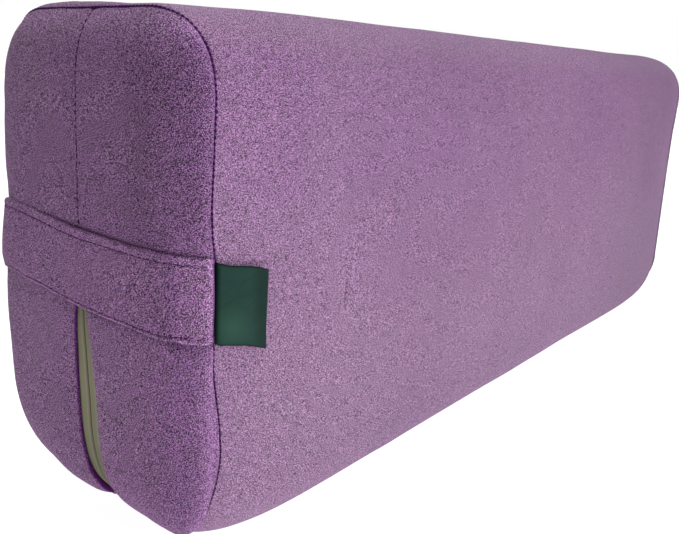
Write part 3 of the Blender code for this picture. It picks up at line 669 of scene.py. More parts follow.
def wander(side, sign, z):
    s = np.interp(z, _z, WANDER[(side, sign)])
    return s * smooth01((np.asarray(z) - SEAM_LOW) / 10)


def seam_weight(sign, z):
    """How open and dark the strap end's ring seam looks, against height; the dark is painted shade."""
    if sign < 0:
        return np.interp(z, [12.7, 60, 100, 150, 180, 230, 248], [0.35, 0.45, 0.6, 0.85, 1.05, 1.45, 1.5])
    return np.interp(z, [12.7, 120, 180, 225, 244, 248], [0.5, 0.5, 0.5, 0.6, 1.0, 1.1])


def ring_pucker(arc_mm, d, seed):
    """Small gathers that start at a ring seam and die out within a centimetre or two."""
    a = np.asarray(arc_mm, float).ravel()
    n = value_noise(np.column_stack([a, np.zeros_like(a)]), 7.5, seed)
    n += 0.5 * value_noise(np.column_stack([a, np.ones_like(a)]), 4.1, seed + 1)
    return (n * 0.17).reshape(np.shape(arc_mm)) * np.exp(-d / 8.0)


EDGE = [0.0, 0.03, 0.10, 0.20, 0.34, 0.52, 0.74, 1.1, 1.8, 2.8, 4.2, 6.0, 8.5, 11.5, 15.0, 19.0, 24.0]


# ------------------------------------------------------------------ cover, long wrap
def cover_body():
    step = 4.0
    n = int(round((HALF_LEN - EDGE[-1]) * 2 / step))
    mid = np.linspace(-(HALF_LEN - EDGE[-1]), HALF_LEN - EDGE[-1], n + 1)[1:-1]
    D = np.r_[0.0, 0.0, EDGE, HALF_LEN - abs(mid), EDGE[::-1], 0.0, 0.0]
    ends = np.r_[-np.ones(2 + len(EDGE)), np.sign(mid + 1e-9), np.ones(2 + len(EDGE))]
    depth0 = np.zeros(len(D))
    depth0[[0, -1]] = SEAM_IN
    depth0[[1, -2]] = 2.6
    near = (ends < 0)[:, None]
    dd = np.repeat(D[:, None], NC, 1)
    fall = 1 - smooth01(dd / 60)
    X9, Y9, Z9, C9, N9, T9 = [], [], [], [], [], []
    for sign in (1, -1):
        s_near, s_far = wander(-1, sign, RING_Z)[None, :], wander(1, sign, RING_Z)[None, :]
        a = -dd - np.where(near, s_near, s_far) * fall
        length, y, z, nx, nr, hw, lo = form(a)
        x = length * ends[:, None]
        g = slit_half(x[:, 0])[:, None]
        rl = 1.3
        bottom = (COLS[:, 3] == -1.0) & (COLS[:, 1] == 0.0)
        span = hw[:, :1] - CORNER_R
        yy = y.copy()
        yy[:, bottom] = ((g + rl) + y * (1 - (g + rl) / span))[:, bottom]
        roll = roll_depth(dd)
        seam_depth = np.maximum(roll, depth0[:, None])
        arc = np.repeat((RING_ARC * sign)[None, :], len(D), 0)
        pts = np.column_stack([x.ravel(), (yy * sign).ravel(), z.ravel()])
        disp = -seam_depth - 0.30 * np.exp(-dd / 4.0)
        disp += ring_pucker(arc, dd, 3) * (dd < 40)
        soft = (0.50 * value_noise(pts, 95.0, 11) + 0.28 * value_noise(pts, 47.0, 12)
                + 0.12 * value_noise(pts, 22.0, 13)).reshape(x.shape)
        disp += soft * np.clip(dd / 30, 0, 1)
        disp += np.where(near, stuffing(-1, sign, z, dd, y), stuffing(1, sign, z, dd, y))
        # the top stands up a little behind the strap end's seam, away from the label
        lift = np.interp(y * sign, [-32, -20, -10, 0, 10, 22, 30, 42, 52, 62, 76],
                         [0, 0.3, 0.9, 1.4, 1.7, 1.9, 1.8, 1.3, 0.6, 0, 0])
        disp += near * lift * smooth01((CS - 0.7) / 0.2) * (1 - np.exp(-(dd / 3.5) ** 2)) * np.exp(-(dd / 24.0) ** 2)
        # painted sheen of the nap: paler low down and on the top roll, deeper near the strap end's low seam, with broad
        # random change
        nap_sheen = 0.15 + 0.75 * smooth01((215 - z) / 150) + 0.65 * smooth01((z - 228) / 14)
        nap_sheen = nap_sheen - near * 0.45 * np.exp(-dd / 12.0) * smooth01((120 - z) / 20)
        nap_sheen = nap_sheen + (0.18 * value_noise(pts, 70.0, 71) + 0.12 * value_noise(pts, 26.0, 72)).reshape(x.shape)
        # painted light and shade: darker low down and towards the far end
        painted_light = np.interp(z, [0, 15, 40, 60, 150, 205, 225, 250], [0.80, 0.88, 0.93, 0.96, 0.96, 0.93, 0.93, 0.98])
        painted_light = painted_light * np.interp(x, [-294, -275, -250, -200, -100, 0, 100, 200, 270, 294],
                                [0.98, 0.95, 0.92, 0.90, 0.87, 0.865, 0.84, 0.78, 0.745, 0.72])
        if sign == -1:
            # fabric drawn in under the label's lower corner, and a faint pull beside it
            disp -= 1.5 * np.exp(-(((x + 289.0) / 5.0) ** 2 + ((z - 108.0) / 5.5) ** 2))
            disp -= 0.8 * np.exp(-(((x + 282.0) / 9) ** 2 + ((z - 102.0) / 7.0) ** 2))
            disp += 0.35 * np.exp(-(((x + 290.0) / 6) ** 2 + ((z - 92.0) / 6.0) ** 2))
            # room for the label where it is sewn in
            disp -= 0.5 * np.exp(-dd / 3.0) * smooth01((20 - abs(z - STRAP_Z)) / 3) * (x < 0)
        xo = x + disp * nx * ends[:, None]
        yo = yy + disp * nr * CC
        zo = z + disp * nr * CS
        zo = np.where(bottom[None, :], np.maximum(zo, lo - 0.001), zo)
        zo = np.maximum(zo, 0.0)
        # rolled lips either side of the zip, then their walls down to the tape, painted darker towards it as shade
        k = nearest_route(xo[:, 0], zo[:, 0])
        lip = np.where(xo[:, 0] < ZIP_END + 2, TAPE_AT[k] - 0.3, 2.6)
        R9 = np.minimum(rl, lip * 0.6)
        roll_y, roll_z, roll_shade = [], [], []
        for share, c in ((1.0, 1.0), (0.5, 0.9)):
            roll_y.append(g[:, 0])
            roll_z.append(zo[:, 0] + R9 + (lip - R9) * share)
            roll_shade.append(c)
        for al, c in ((90, 0.75), (68, 0.5), (46, 0.25), (24, 0.1)):
            q = math.radians(al)
            roll_y.append(g[:, 0] + rl - rl * math.sin(q))
            roll_z.append(zo[:, 0] + R9 * (1 - math.cos(q)))
            roll_shade.append(c)
        m = len(roll_y)
        X9.append(np.concatenate([np.repeat(xo[:, :1], m, 1), xo], 1))
        Y9.append(np.concatenate([np.stack(roll_y, 1), yo], 1) * sign)
        Z9.append(np.concatenate([np.stack(roll_z, 1), zo], 1))
        # painted shade along the ring seams, strongest and widest at the strap end where the seam opens
        dark = np.clip((seam_depth - 0.1) / 0.9, 0, 1)
        weight = seam_weight(sign, z)
        dark = np.where(near, np.maximum(dark * np.clip(weight * 1.2, 0, 1), 0.85 * np.exp(-(dd / (0.60 * weight)) ** 2)),
                        dark * 0.5)
        C9.append(np.concatenate([np.repeat([roll_shade], len(D), 0), dark], 1))
        N9.append(np.concatenate([np.full((len(D), m), 0.3), np.clip(nap_sheen, 0, 1)], 1))
        T9.append(np.concatenate([np.full((len(D), m), 0.95), painted_light], 1))
    X, Y, Z, C, N, T = (np.concatenate([q[0], q[1][:, ::-1][:, 1:]], 1) for q in (X9, Y9, Z9, C9, N9, T9))
    v = zip_sway(clear_of_zip(np.column_stack([X.ravel(), Y.ravel(), Z.ravel()])))
    ob = make("cover_wrap", v, grid_quads(X.shape[0], X.shape[1]), mat_velour,
              {"painted_shade": C.ravel(), "nap_sheen": N.ravel(), "painted_light": T.ravel()})
    thicken(ob, 1.1)
    return ob


# ------------------------------------------------------------------ cover, domed ends
def end_half(sign, side, middle_seam):
    """One half of a domed end, as (points, faces, attributes). side is -1 at the strap end; sign is
    the half's own side across. middle_seam turns the panel in along the middle."""
    D = np.r_[0.0, 0.0, EDGE, np.linspace(EDGE[-1], ARC_END, 7)[1:]]
    R = len(D)
    depth0 = np.zeros(R)
    depth0[0], depth0[1] = SEAM_IN, 2.6
    dd = np.repeat(D[:, None], NC, 1)
    s_ring = wander(side, sign, RING_Z)[None, :]
    a = dd - s_ring * (1 - smooth01(dd / (ARC_END - 2)))
    length, y, z, nx, nr, hw, lo = form(a)
    rl_z = (lambda q: 0.55 + 0.65 * smooth01((148 - q) / 20)) if middle_seam else (lambda q: np.zeros_like(q))
    g_z = (lambda q: gape(q)) if middle_seam else (lambda q: np.zeros_like(q))
    G = g_z(z) + rl_z(z)
    yy = G + y * (1 - G / hw)
    # the flat middle, drawn together onto the middle line
    y9, z9 = yy[-1], z[-1]
    arc9 = np.r_[0, np.cumsum(np.hypot(np.diff(y9), np.diff(z9)))]
    zc = z9[0] + (z9[-1] - z9[0]) * arc9 / arc9[-1]
    gc = g_z(zc) + rl_z(zc)
    M = 18
    share = (np.arange(1, M + 1) / M)[:, None]
    Y = np.concatenate([yy, y9[None, :] + (gc - y9)[None, :] * share], 0)
    Z = np.concatenate([z, z9[None, :] + (zc - z9)[None, :] * share], 0)
    X = np.concatenate([length, np.full((M, NC), length[-1, 0])], 0)
    NX = np.concatenate([nx, np.ones((M, NC))], 0)
    NR = np.concatenate([nr, np.zeros((M, NC))], 0)
    DD = np.concatenate([dd, np.full((M, NC), ARC_END)], 0)
    depth = np.concatenate([np.maximum(roll_depth(dd), depth0[:, None]), np.zeros((M, NC))], 0)
    arc = np.repeat((RING_ARC * sign)[None, :], R + M, 0)
    pts = np.column_stack([X.ravel() * side, (Y * sign).ravel(), Z.ravel()])
    disp = -depth - 0.25 * np.exp(-DD / 4.0)
    disp += ring_pucker(arc, DD, 3 if side < 0 else 5)
    soft = (0.40 * value_noise(pts, 60.0, 21) + 0.22 * value_noise(pts, 30.0, 22)).reshape(X.shape)
    flat = 1.0
    if side < 0:
        # pressed smooth under the strap
        flat = 1 - 0.9 * smooth01((23.5 - abs(Z - STRAP_Z - 1)) / 4)
    disp += flat * soft * np.clip(DD / 18, 0, 1)
    disp += flat * 0.6 * np.clip(1 - (Y / 62) ** 2, 0, 1) * np.clip(1 - ((Z - 131) / 100) ** 2, 0, 1)
    disp += stuffing(side, sign, Z, DD, Y) * (1 - smooth01((DD - 14) / 20))
    if side < 0:
        disp -= (1 - flat) * 0.12
        # room for the sewn-in ends of the strap
        disp -= 1.1 * (1 - smooth01((DD - 3.0) / 7)) * smooth01((21 - abs(Z - STRAP_Z - 1)) / 3) * (CC > 0.9)
        if sign < 0:
            disp -= np.interp(DD, OUTLINE_Q[:200], PULL[:200]) * smooth01((25 - abs(Z - STRAP_Z - 1)) / 6) * (Y > 1)
    if middle_seam:
        off = np.maximum(Y - (g_z(Z) + rl_z(Z)), 0.0)
        sewn = smooth01((Z - 138) / 14)
        disp -= (0.35 * sewn + 0.95 * (1 - sewn)) * np.exp(-off / (3.0 * sewn + 4.5 * (1 - sewn)))
        # the panel is drawn in where the zip turns under
        disp -= (1.2 if sign > 0 else 0.0) * np.exp(-off / 5) * smooth01((34 - Z) / 15)
        gather = value_noise(np.column_stack([Z.ravel(), Z.ravel() * 0]), 8.0, 31).reshape(X.shape)
        disp += 0.13 * gather * np.exp(-off / 7)
    ys = Y * sign
    # painted sheen of the nap on the domed ends
    nap_sheen = 0.35 + 0.35 * smooth01((ys + 10) / 50) + 0.5 * smooth01((Z - 228) / 12)
    nap_sheen = nap_sheen + 0.5 * np.exp(-((ys + 18) / 18) ** 2 - ((Z - 70) / 35) ** 2)
    nap_sheen = nap_sheen + (0.14 * value_noise(pts, 45.0, 73) + 0.10 * value_noise(pts, 17.0, 74)).reshape(X.shape)
    # painted violet shade on the roll beside the label, partly the pile's own hue where the nap turns, and painted
    # shade just above the strap
    violet_shade = 0.55 * np.exp(-((ys + 70) / 13) ** 2) if side < 0 else 0 * ys
    if side < 0:
        violet_shade = np.maximum(violet_shade, 0.5 * np.exp(-((Z - 155) / 4.5) ** 2) * smooth01((10 - ys) / 40))
        # painted light and shade on the strap end: darker high up, a lit roll and top corner beside the label, a darker
        # band inside the roll; the other end is evenly darker
        painted_light = np.interp(Z, [0, 30, 95, 112, 150, 165, 205, 228, 234, 240, 246, 250],
                         [0.62, 0.66, 0.66, 0.64, 0.61, 0.56, 0.54, 0.54, 0.60, 0.74, 0.90, 0.98])
        painted_light = painted_light * np.interp(ys, [-78, -72, -63, -54, -40, 0, 40, 60, 75], [1.17, 1.17, 1.08, 1.02, 1.03, 1, 1, 0.95, 0.93])
        painted_light = painted_light * (1 - 0.17 * np.exp(-((ys + 47) / 12) ** 2) * smooth01((Z - 120) / 40))
        painted_light = painted_light + 0.28 * np.exp(-((ys + 57) / 15) ** 2 - ((Z - 240) / 12) ** 2)
        # the strap keeps the light off the panel just under it
        under = np.interp(strap_share(ys), *STRAP_LINE) - VIS_W / 2 - 0.5
        painted_light = painted_light * (1 - 0.45 * np.exp(-((Z - under) / 1.1) ** 2))
    else:
        painted_light = np.full(Z.shape, 0.85)
    X = X + disp * NX
    Y = Y + disp * NR * CC
    Z = Z + disp * NR * CS
    # painted shade along the ring seams
    painted_shade = np.clip((depth - 0.1) / 0.9, 0, 1)
    if side < 0:
        weight = seam_weight(sign, Z)
        painted_shade = np.maximum(painted_shade * np.clip(weight * 1.2, 0, 1), 0.85 * np.exp(-(DD / (0.60 * weight)) ** 2))
    else:
        painted_shade = painted_shade * 0.5
    n0 = (R + M) * NC
    verts = [np.column_stack([X.ravel() * side, (Y * sign).ravel(), Z.ravel()])]
    faces = [grid_quads(R + M, NC)]
    painted_shades, nap_sheens, rims, painted_lights = [painted_shade.ravel()], [np.clip(nap_sheen, 0, 1).ravel()], [violet_shade.ravel()], [painted_light.ravel()]
    if middle_seam:
        # the edge along the middle: up the bottom column, along the last row, down the top column
        ids = [r * NC for r in range(R)] + [(R + M - 1) * NC + k for k in range(1, NC - 1)]
        ids += [r * NC + NC - 1 for r in range(R - 1, -1, -1)]
        ids = np.array(ids)
        px, pz, py = X.ravel()[ids], Z.ravel()[ids], Y.ravel()[ids]
        ax, az = NX.ravel()[ids], (NR * CS).ravel()[ids]
        rl = np.maximum(np.minimum(rl_z(pz), py - 0.05), 0.05)
        g = py - rl
        near = nearest_route(px * side, pz)
        open_part = (pz < ZIP_TOP - 3)
        lip = np.where(open_part, TAPE_AT[near] - 0.3, 2.2)
        flat_r = np.minimum(rl, lip * 0.55)
        strips, cs = [], []
        # the lip that turns away from the light is dark, the other only at its foot
        open_c = (0.35, 0.65, 0.9, 1.0, 1.0, 1.0) if sign > 0 else (0.0, 0.05, 0.15, 0.3, 0.6, 0.9)
        sewn_c = (0.02, 0.10, 0.30, 0.55, 0.85, 1.0)
        share_open = smooth01((146 - pz) / 12)
        for al in (24, 46, 68, 90):
            q = math.radians(al)
            k = flat_r * (1 - math.cos(q))
            strips.append(np.column_stack([(px - ax * k) * side, (py - rl * math.sin(q)) * sign, pz - az * k]))
        for share_ in (0.5, 1.0):
            k = flat_r + (lip - flat_r) * share_
            p = np.column_stack([(px - ax * k) * side, g * sign, pz - az * k])
            if share_ == 1.0:
                # the wall ends just above the tape, wherever the panel lies
                now = ((p[:, (0, 2)] - ROUTE[near]) * INWARD[near]).sum(1)
                go = np.where(open_part, TAPE_AT[near] - 0.25 - now, 0.0)
                p[:, 0] += go * INWARD[near, 0]
                p[:, 2] += go * INWARD[near, 1]
            strips.append(p)
        cs = [a * share_open + b * (1 - share_open) for a, b in zip(open_c, sewn_c)]
        nap_sheens += [nap_sheens[0][ids]] * len(strips)
        rims += [rims[0][ids]] * len(strips)
        painted_lights += [painted_lights[0][ids]] * len(strips)
        prev, fs = ids, []
        for j, strip in enumerate(strips):
            cur = np.arange(len(ids)) + n0 + j * len(ids)
            fs.append(np.stack([prev[:-1], prev[1:], cur[1:], cur[:-1]], 1))
            prev = cur
        verts += strips
        painted_shades += cs
        faces += fs
    V = np.concatenate(verts)
    if middle_seam:
        V = seam_sway(zip_sway(clear_of_zip(V, 0.25)))
    F = np.concatenate(faces)
    # outward faces: both mirrorings turn them over
    attributes = {key: np.concatenate(v) for key, v in (("painted_shade", painted_shades), ("nap_sheen", nap_sheens), ("violet_shade", rims), ("painted_light", painted_lights))}
    return V, (F if side * sign > 0 else F[:, ::-1]), attributes


def cover_ends():
    out = []
    for sign, name in ((1, "cover_end_left"), (-1, "cover_end_right")):
        V, F, A = end_half(sign, -1, True)
        ob = make(name, V, F, mat_velour_end, A)
        merge_close(ob, 0.004)
        thicken(ob, 0.9)
        out.append(ob)
    parts = [end_half(sign, 1, False) for sign in (1, -1)]
    V = np.concatenate([p[0] for p in parts])
    F = np.concatenate([parts[0][1], parts[1][1] + len(parts[0][0])])
    ob = make("cover_end_far", V, F, mat_velour_end, {k: np.concatenate([p[2][k] for p in parts]) for k in parts[0][2]})
    merge_close(ob, 0.02)
    thicken(ob, 0.9)
    out.append(ob)
    return out


wrap = cover_body()
end_left, end_right, end_far = cover_ends()
for ob, node in ((wrap, "cover_body"), (end_left, "cover_end_left_half"), (end_right, "cover_end_right_half"),
                 (end_far, "cover_end_plain")):
    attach(ob, "root")
    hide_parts(node)


# ------------------------------------------------------------------ threads
def capsules(centres, directions, normals, lengths, radius, arch=0.0, sides=7, rings=7):
    """Short rounded stitches. centres, directions and normals are (n, 3); arch lifts the middle."""
    V, F = [], []
    u = np.linspace(-1, 1, rings)
    prof = np.sqrt(np.maximum(1 - np.abs(u) ** 3.0, 0.0)) * 0.92 + 0.08
    prof[0] = prof[-1] = 0.35
    ang = np.linspace(0, 2 * math.pi, sides, endpoint=False)
    base = 0
    for c, d, n, L, r in zip(centres, directions, normals, lengths, np.broadcast_to(radius, len(centres))):
        b = np.cross(d, n)
        for k in range(rings):
            o = c + d * (u[k] * L / 2) + n * (arch * (1 - u[k] ** 2))
            V.append(o + r * prof[k] * (np.cos(ang)[:, None] * n + np.sin(ang)[:, None] * b))
        F.append(grid_quads(rings, sides, True) + base)
        base += rings * sides
    V = np.concatenate(V)
    quads = np.concatenate(F).tolist()
    for i in range(len(centres)):
        s0 = i * rings * sides
        quads.append(tuple(s0 + j for j in range(sides - 1, -1, -1)))
        quads.append(tuple(s0 + (rings - 1) * sides + j for j in range(sides)))
    return V, quads


def along(path, normals, pitch):
    """Points every pitch mm along a path, with directions, normals and distances."""
    s = np.r_[0, np.cumsum(np.linalg.norm(np.diff(path, axis=0), axis=1))]
    n = int(s[-1] // pitch)
    q = (s[-1] - (n - 1) * pitch) / 2 + np.arange(n) * pitch
    at = lambda v, w: np.stack([np.interp(w, s, v[:, k]) for k in range(v.shape[1])], 1)
    p, t, m = at(path, q), at(path, q + 0.5) - at(path, q - 0.5), at(normals, q)
    t /= np.linalg.norm(t, axis=1)[:, None]
    m -= t * (m * t).sum(1)[:, None]
    m /= np.linalg.norm(m, axis=1)[:, None]
    return p, t, m, q


def ring_threads(side, name, skip):
    """Stitches seen in the ring seam, sunk between the two fabrics and slanting a little."""
    path, normals = [], []
    for sign in (1, -1):
        s_ring = wander(side, sign, RING_Z)
        length, y, z, nx, nr, _, _ = form(-s_ring[None, :])
        out = stuffing(side, sign, z, np.zeros(z.shape), y)[0]
        pts = np.column_stack([(length[0] + out * nx[0]) * side, (y[0] + out * nr[0] * COLS[:, 1]) * sign,
                               z[0] + out * nr[0] * COLS[:, 3]])
        nrm = np.column_stack([nx[0] * side, nr[0] * COLS[:, 1] * sign, nr[0] * COLS[:, 3]])
        path.append(pts if sign > 0 else pts[::-1][1:])
        normals.append(nrm if sign > 0 else nrm[::-1][1:])
    p, t, n, q = along(np.concatenate(path), np.concatenate(normals), 2.5)
    keep = [i for i in range(len(p)) if not skip(p[i])]
    p, t, n, q = p[keep], t[keep], n[keep], q[keep]
    wob = value_noise(np.column_stack([q, q * 0]), 2.0, 41)
    slant = np.cross(n, t) * (0.16 + 0.10 * wob)[:, None]
    d = t + slant
    d /= np.linalg.norm(d, axis=1)[:, None]
    size = np.where(p[:, 1] < 0, seam_weight(-1, p[:, 2]), seam_weight(1, p[:, 2])) if side < 0 else np.full(len(p), 0.5)
    r = 0.58 * size * (1 + 0.12 * wob)
    V, F = capsules(p - n * (0.05 + r * 0.60)[:, None], d, n, 1.75 + 0.20 * wob, r, arch=0.12)
    return make(name, V, F, mat_seam_thread_shade)


def off_strap(p):
    return (abs(p[1] + 6) < 14 and p[2] < 20) or (abs(p[1]) > 60 and abs(p[2] - STRAP_Z - 1) < 20)


thread_near = ring_threads(-1, "ring_thread_strap_end", off_strap)
thread_far = ring_threads(1, "ring_thread_far_end", lambda p: False)


def middle_threads():
    """Stitches in the strap end's middle seam, above the strap."""
    t = np.linspace(0.16, math.pi / 2, 40)
    path = [(-(HALF_LEN + CROWN_DEPTH * math.sin(a)), 0.0, SEAM_TOP - CROWN_INSET * (1 - math.cos(a))) for a in t]
    nrm = [(-CROWN_INSET * math.sin(a), 0.0, CROWN_DEPTH * math.cos(a)) for a in t]
    zs = np.linspace(SEAM_TOP - CROWN_INSET, 140, 60)[1:]
    path += [(-(HALF_LEN + CROWN_DEPTH), 0.0, z) for z in zs]
    nrm += [(-1.0, 0.0, 0.0) for z in zs]
    p, d, n, q = along(np.array(path), np.array(nrm), 3.3)
    lift = 0.6 * np.clip(1 - ((p[:, 2] - 131) / 100) ** 2, 0, 1)
    V, F = capsules(p + n * (lift - 0.66)[:, None], d, n, np.full(len(p), 2.1), 0.24, arch=0.08)
    return make("middle_seam_thread", seam_sway(V), F, mat_seam_thread_shade)


thread_mid = middle_threads()


def lip_threads():
    """A close row of stitches along each zip lip, where the tape is stitched to the fold, coloured pale as a painted
    highlight of the lit fold.
    """
    out = []
    for sign, side in ((1, "left"), (-1, "right")):
        first = int(np.argmin(abs(ROUTE[:, 1] - 128) + 1000 * (ROUTE[:, 0] > 0)))
        ids = np.arange(first, RING_AT - 6)
        z = ROUTE[ids, 1]
        edge = gape(z) + 0.16
        path = np.column_stack([ROUTE[ids, 0] + INWARD[ids, 0] * (TAPE_AT[ids] - 0.55), sign * edge,
                                z + INWARD[ids, 1] * (TAPE_AT[ids] - 0.55)])
        nrm = np.column_stack([-INWARD[ids, 0], np.zeros(len(ids)), -INWARD[ids, 1]])
        p, d, n, q = along(path, nrm, 2.1)
        V, F = capsules(p, d, n, np.full(len(p), 1.35), 0.17, arch=0.05, sides=6, rings=5)
        ob = make("lip_highlight_thread_" + side, zip_sway(V), F, mat_thread_highlight)
        out.append(ob)
    return out


for ob in (thread_near, thread_far, thread_mid, *lip_threads()):
    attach(ob, "root")


# ------------------------------------------------------------------ carrying strap
def strap_plan(steps):
    """Outer and inner faces of the strap seen from above, from the label's side to the other."""
    n, q = OUTLINE_N, OUTLINE_Q
    p = OUTLINE_P - n * PULL[:, None]
    u = q / q[-1]
    ends = np.minimum(q, q[-1] - q)
    inner = 0.12 + 0.08 * np.sin(math.pi * u) ** 1.5 - 0.7 * (1 - smooth01((ends - 3) / 7))
    thick = VIS_T * (0.42 + 0.58 * smooth01(ends / 8))
    keep = ends > 3.2
    I, O = (p + n * inner[:, None])[keep], (p + n * (inner + thick)[:, None])[keep]

    def tuck(x0, sgn):
        o = [(x0 - 0.12, HALF_WID - 4.2), (x0 - 0.14, HALF_WID - 2.2), (x0 - 0.2, HALF_WID - 0.7), (x0 - 0.62, HALF_WID + 0.25)]
        i = [(x0 - 0.95, HALF_WID - 4.2), (x0 - 0.97, HALF_WID - 2.4), (x0 - 1.05, HALF_WID - 1.2), (x0 - 1.5, HALF_WID - 0.55)]
        return np.array([(x, sgn * y) for x, y in o]), np.array([(x, sgn * y) for x, y in i])
    xr = -HALF_LEN + float(wander(-1, -1, STRAP_Z))
    xl = -HALF_LEN + float(wander(-1, 1, STRAP_Z))
    (ro, ri), (lo_, li) = tuck(xr, -1), tuck(xl, 1)
    O = np.concatenate([ro, O, lo_[::-1]])
    I = np.concatenate([ri, I, li[::-1]])
    mid = (O + I) / 2
    s = np.r_[0, np.cumsum(np.linalg.norm(np.diff(mid, axis=0), axis=1))]
    w = np.linspace(0, s[-1], steps)
    k = np.exp(-0.5 * (np.arange(-8, 9) / 2.2) ** 2)
    k /= k.sum()
    out = []
    for line in (O, I):
        line = np.stack([np.interp(w, s, line[:, j]) for j in (0, 1)], 1)
        line = np.stack([np.convolve(np.pad(line[:, j], 8, "reflect", reflect_type="odd"), k, "valid") for j in (0, 1)], 1)
        out.append(line)
    return out[0], out[1], w


def strap_profile():
    """Closed outline across the strap, (across, share of thickness), with edges rolled towards the
    front and fine steps where the two stitch rows run."""
    h = VIS_W / 2
    r = 1.2
    fine = np.arange(h - 6.2, h - r, 0.30)
    face = np.unique(np.r_[np.linspace(-h + 6.6, h - 6.6, 21), fine, -fine, -h + r, h - r])
    pts = [(w, 1.0) for w in face]
    edge = [(h - r + r * math.cos(t), 0.14 + 0.86 * math.sin(t)) for t in np.linspace(math.pi / 2, 0, 8)[1:]]
    edge += [(h - 0.04, 0.05), (h - 0.18, 0.0)]
    pts += edge
    pts += [(w, 0.0) for w in face[::-1][::2]]
    pts += [(-w, share) for w, share in edge[::-1]]
    return np.array(pts)


STITCH = 4.7


def stitch_rows(u):
    """Where the two rows run across the strap, against the share of its length from the label's side."""
    h = VIS_W / 2
    return (-(h - np.interp(u, [0, 0.08, 0.15, 1], [3.4, 3.3, 2.1, 1.9])), h - np.interp(u, [0, 0.1, 0.5, 1], [3.5, 3.6, 4.2, 4.6]))


def strap_lean(u, w):
    """The band's upper edge tips in and its lower half is pushed out, away from the label's side."""
    return smooth01((u - 0.60) / 0.16) * (1 - smooth01((u - 0.94) / 0.05)) * np.interp(w, [-18.5, -15, -11, -5, 3, 10, 18.5],
                                                                                      [0.5, 1.2, 1.6, 1.2, 0.5, -0.2, -0.8])


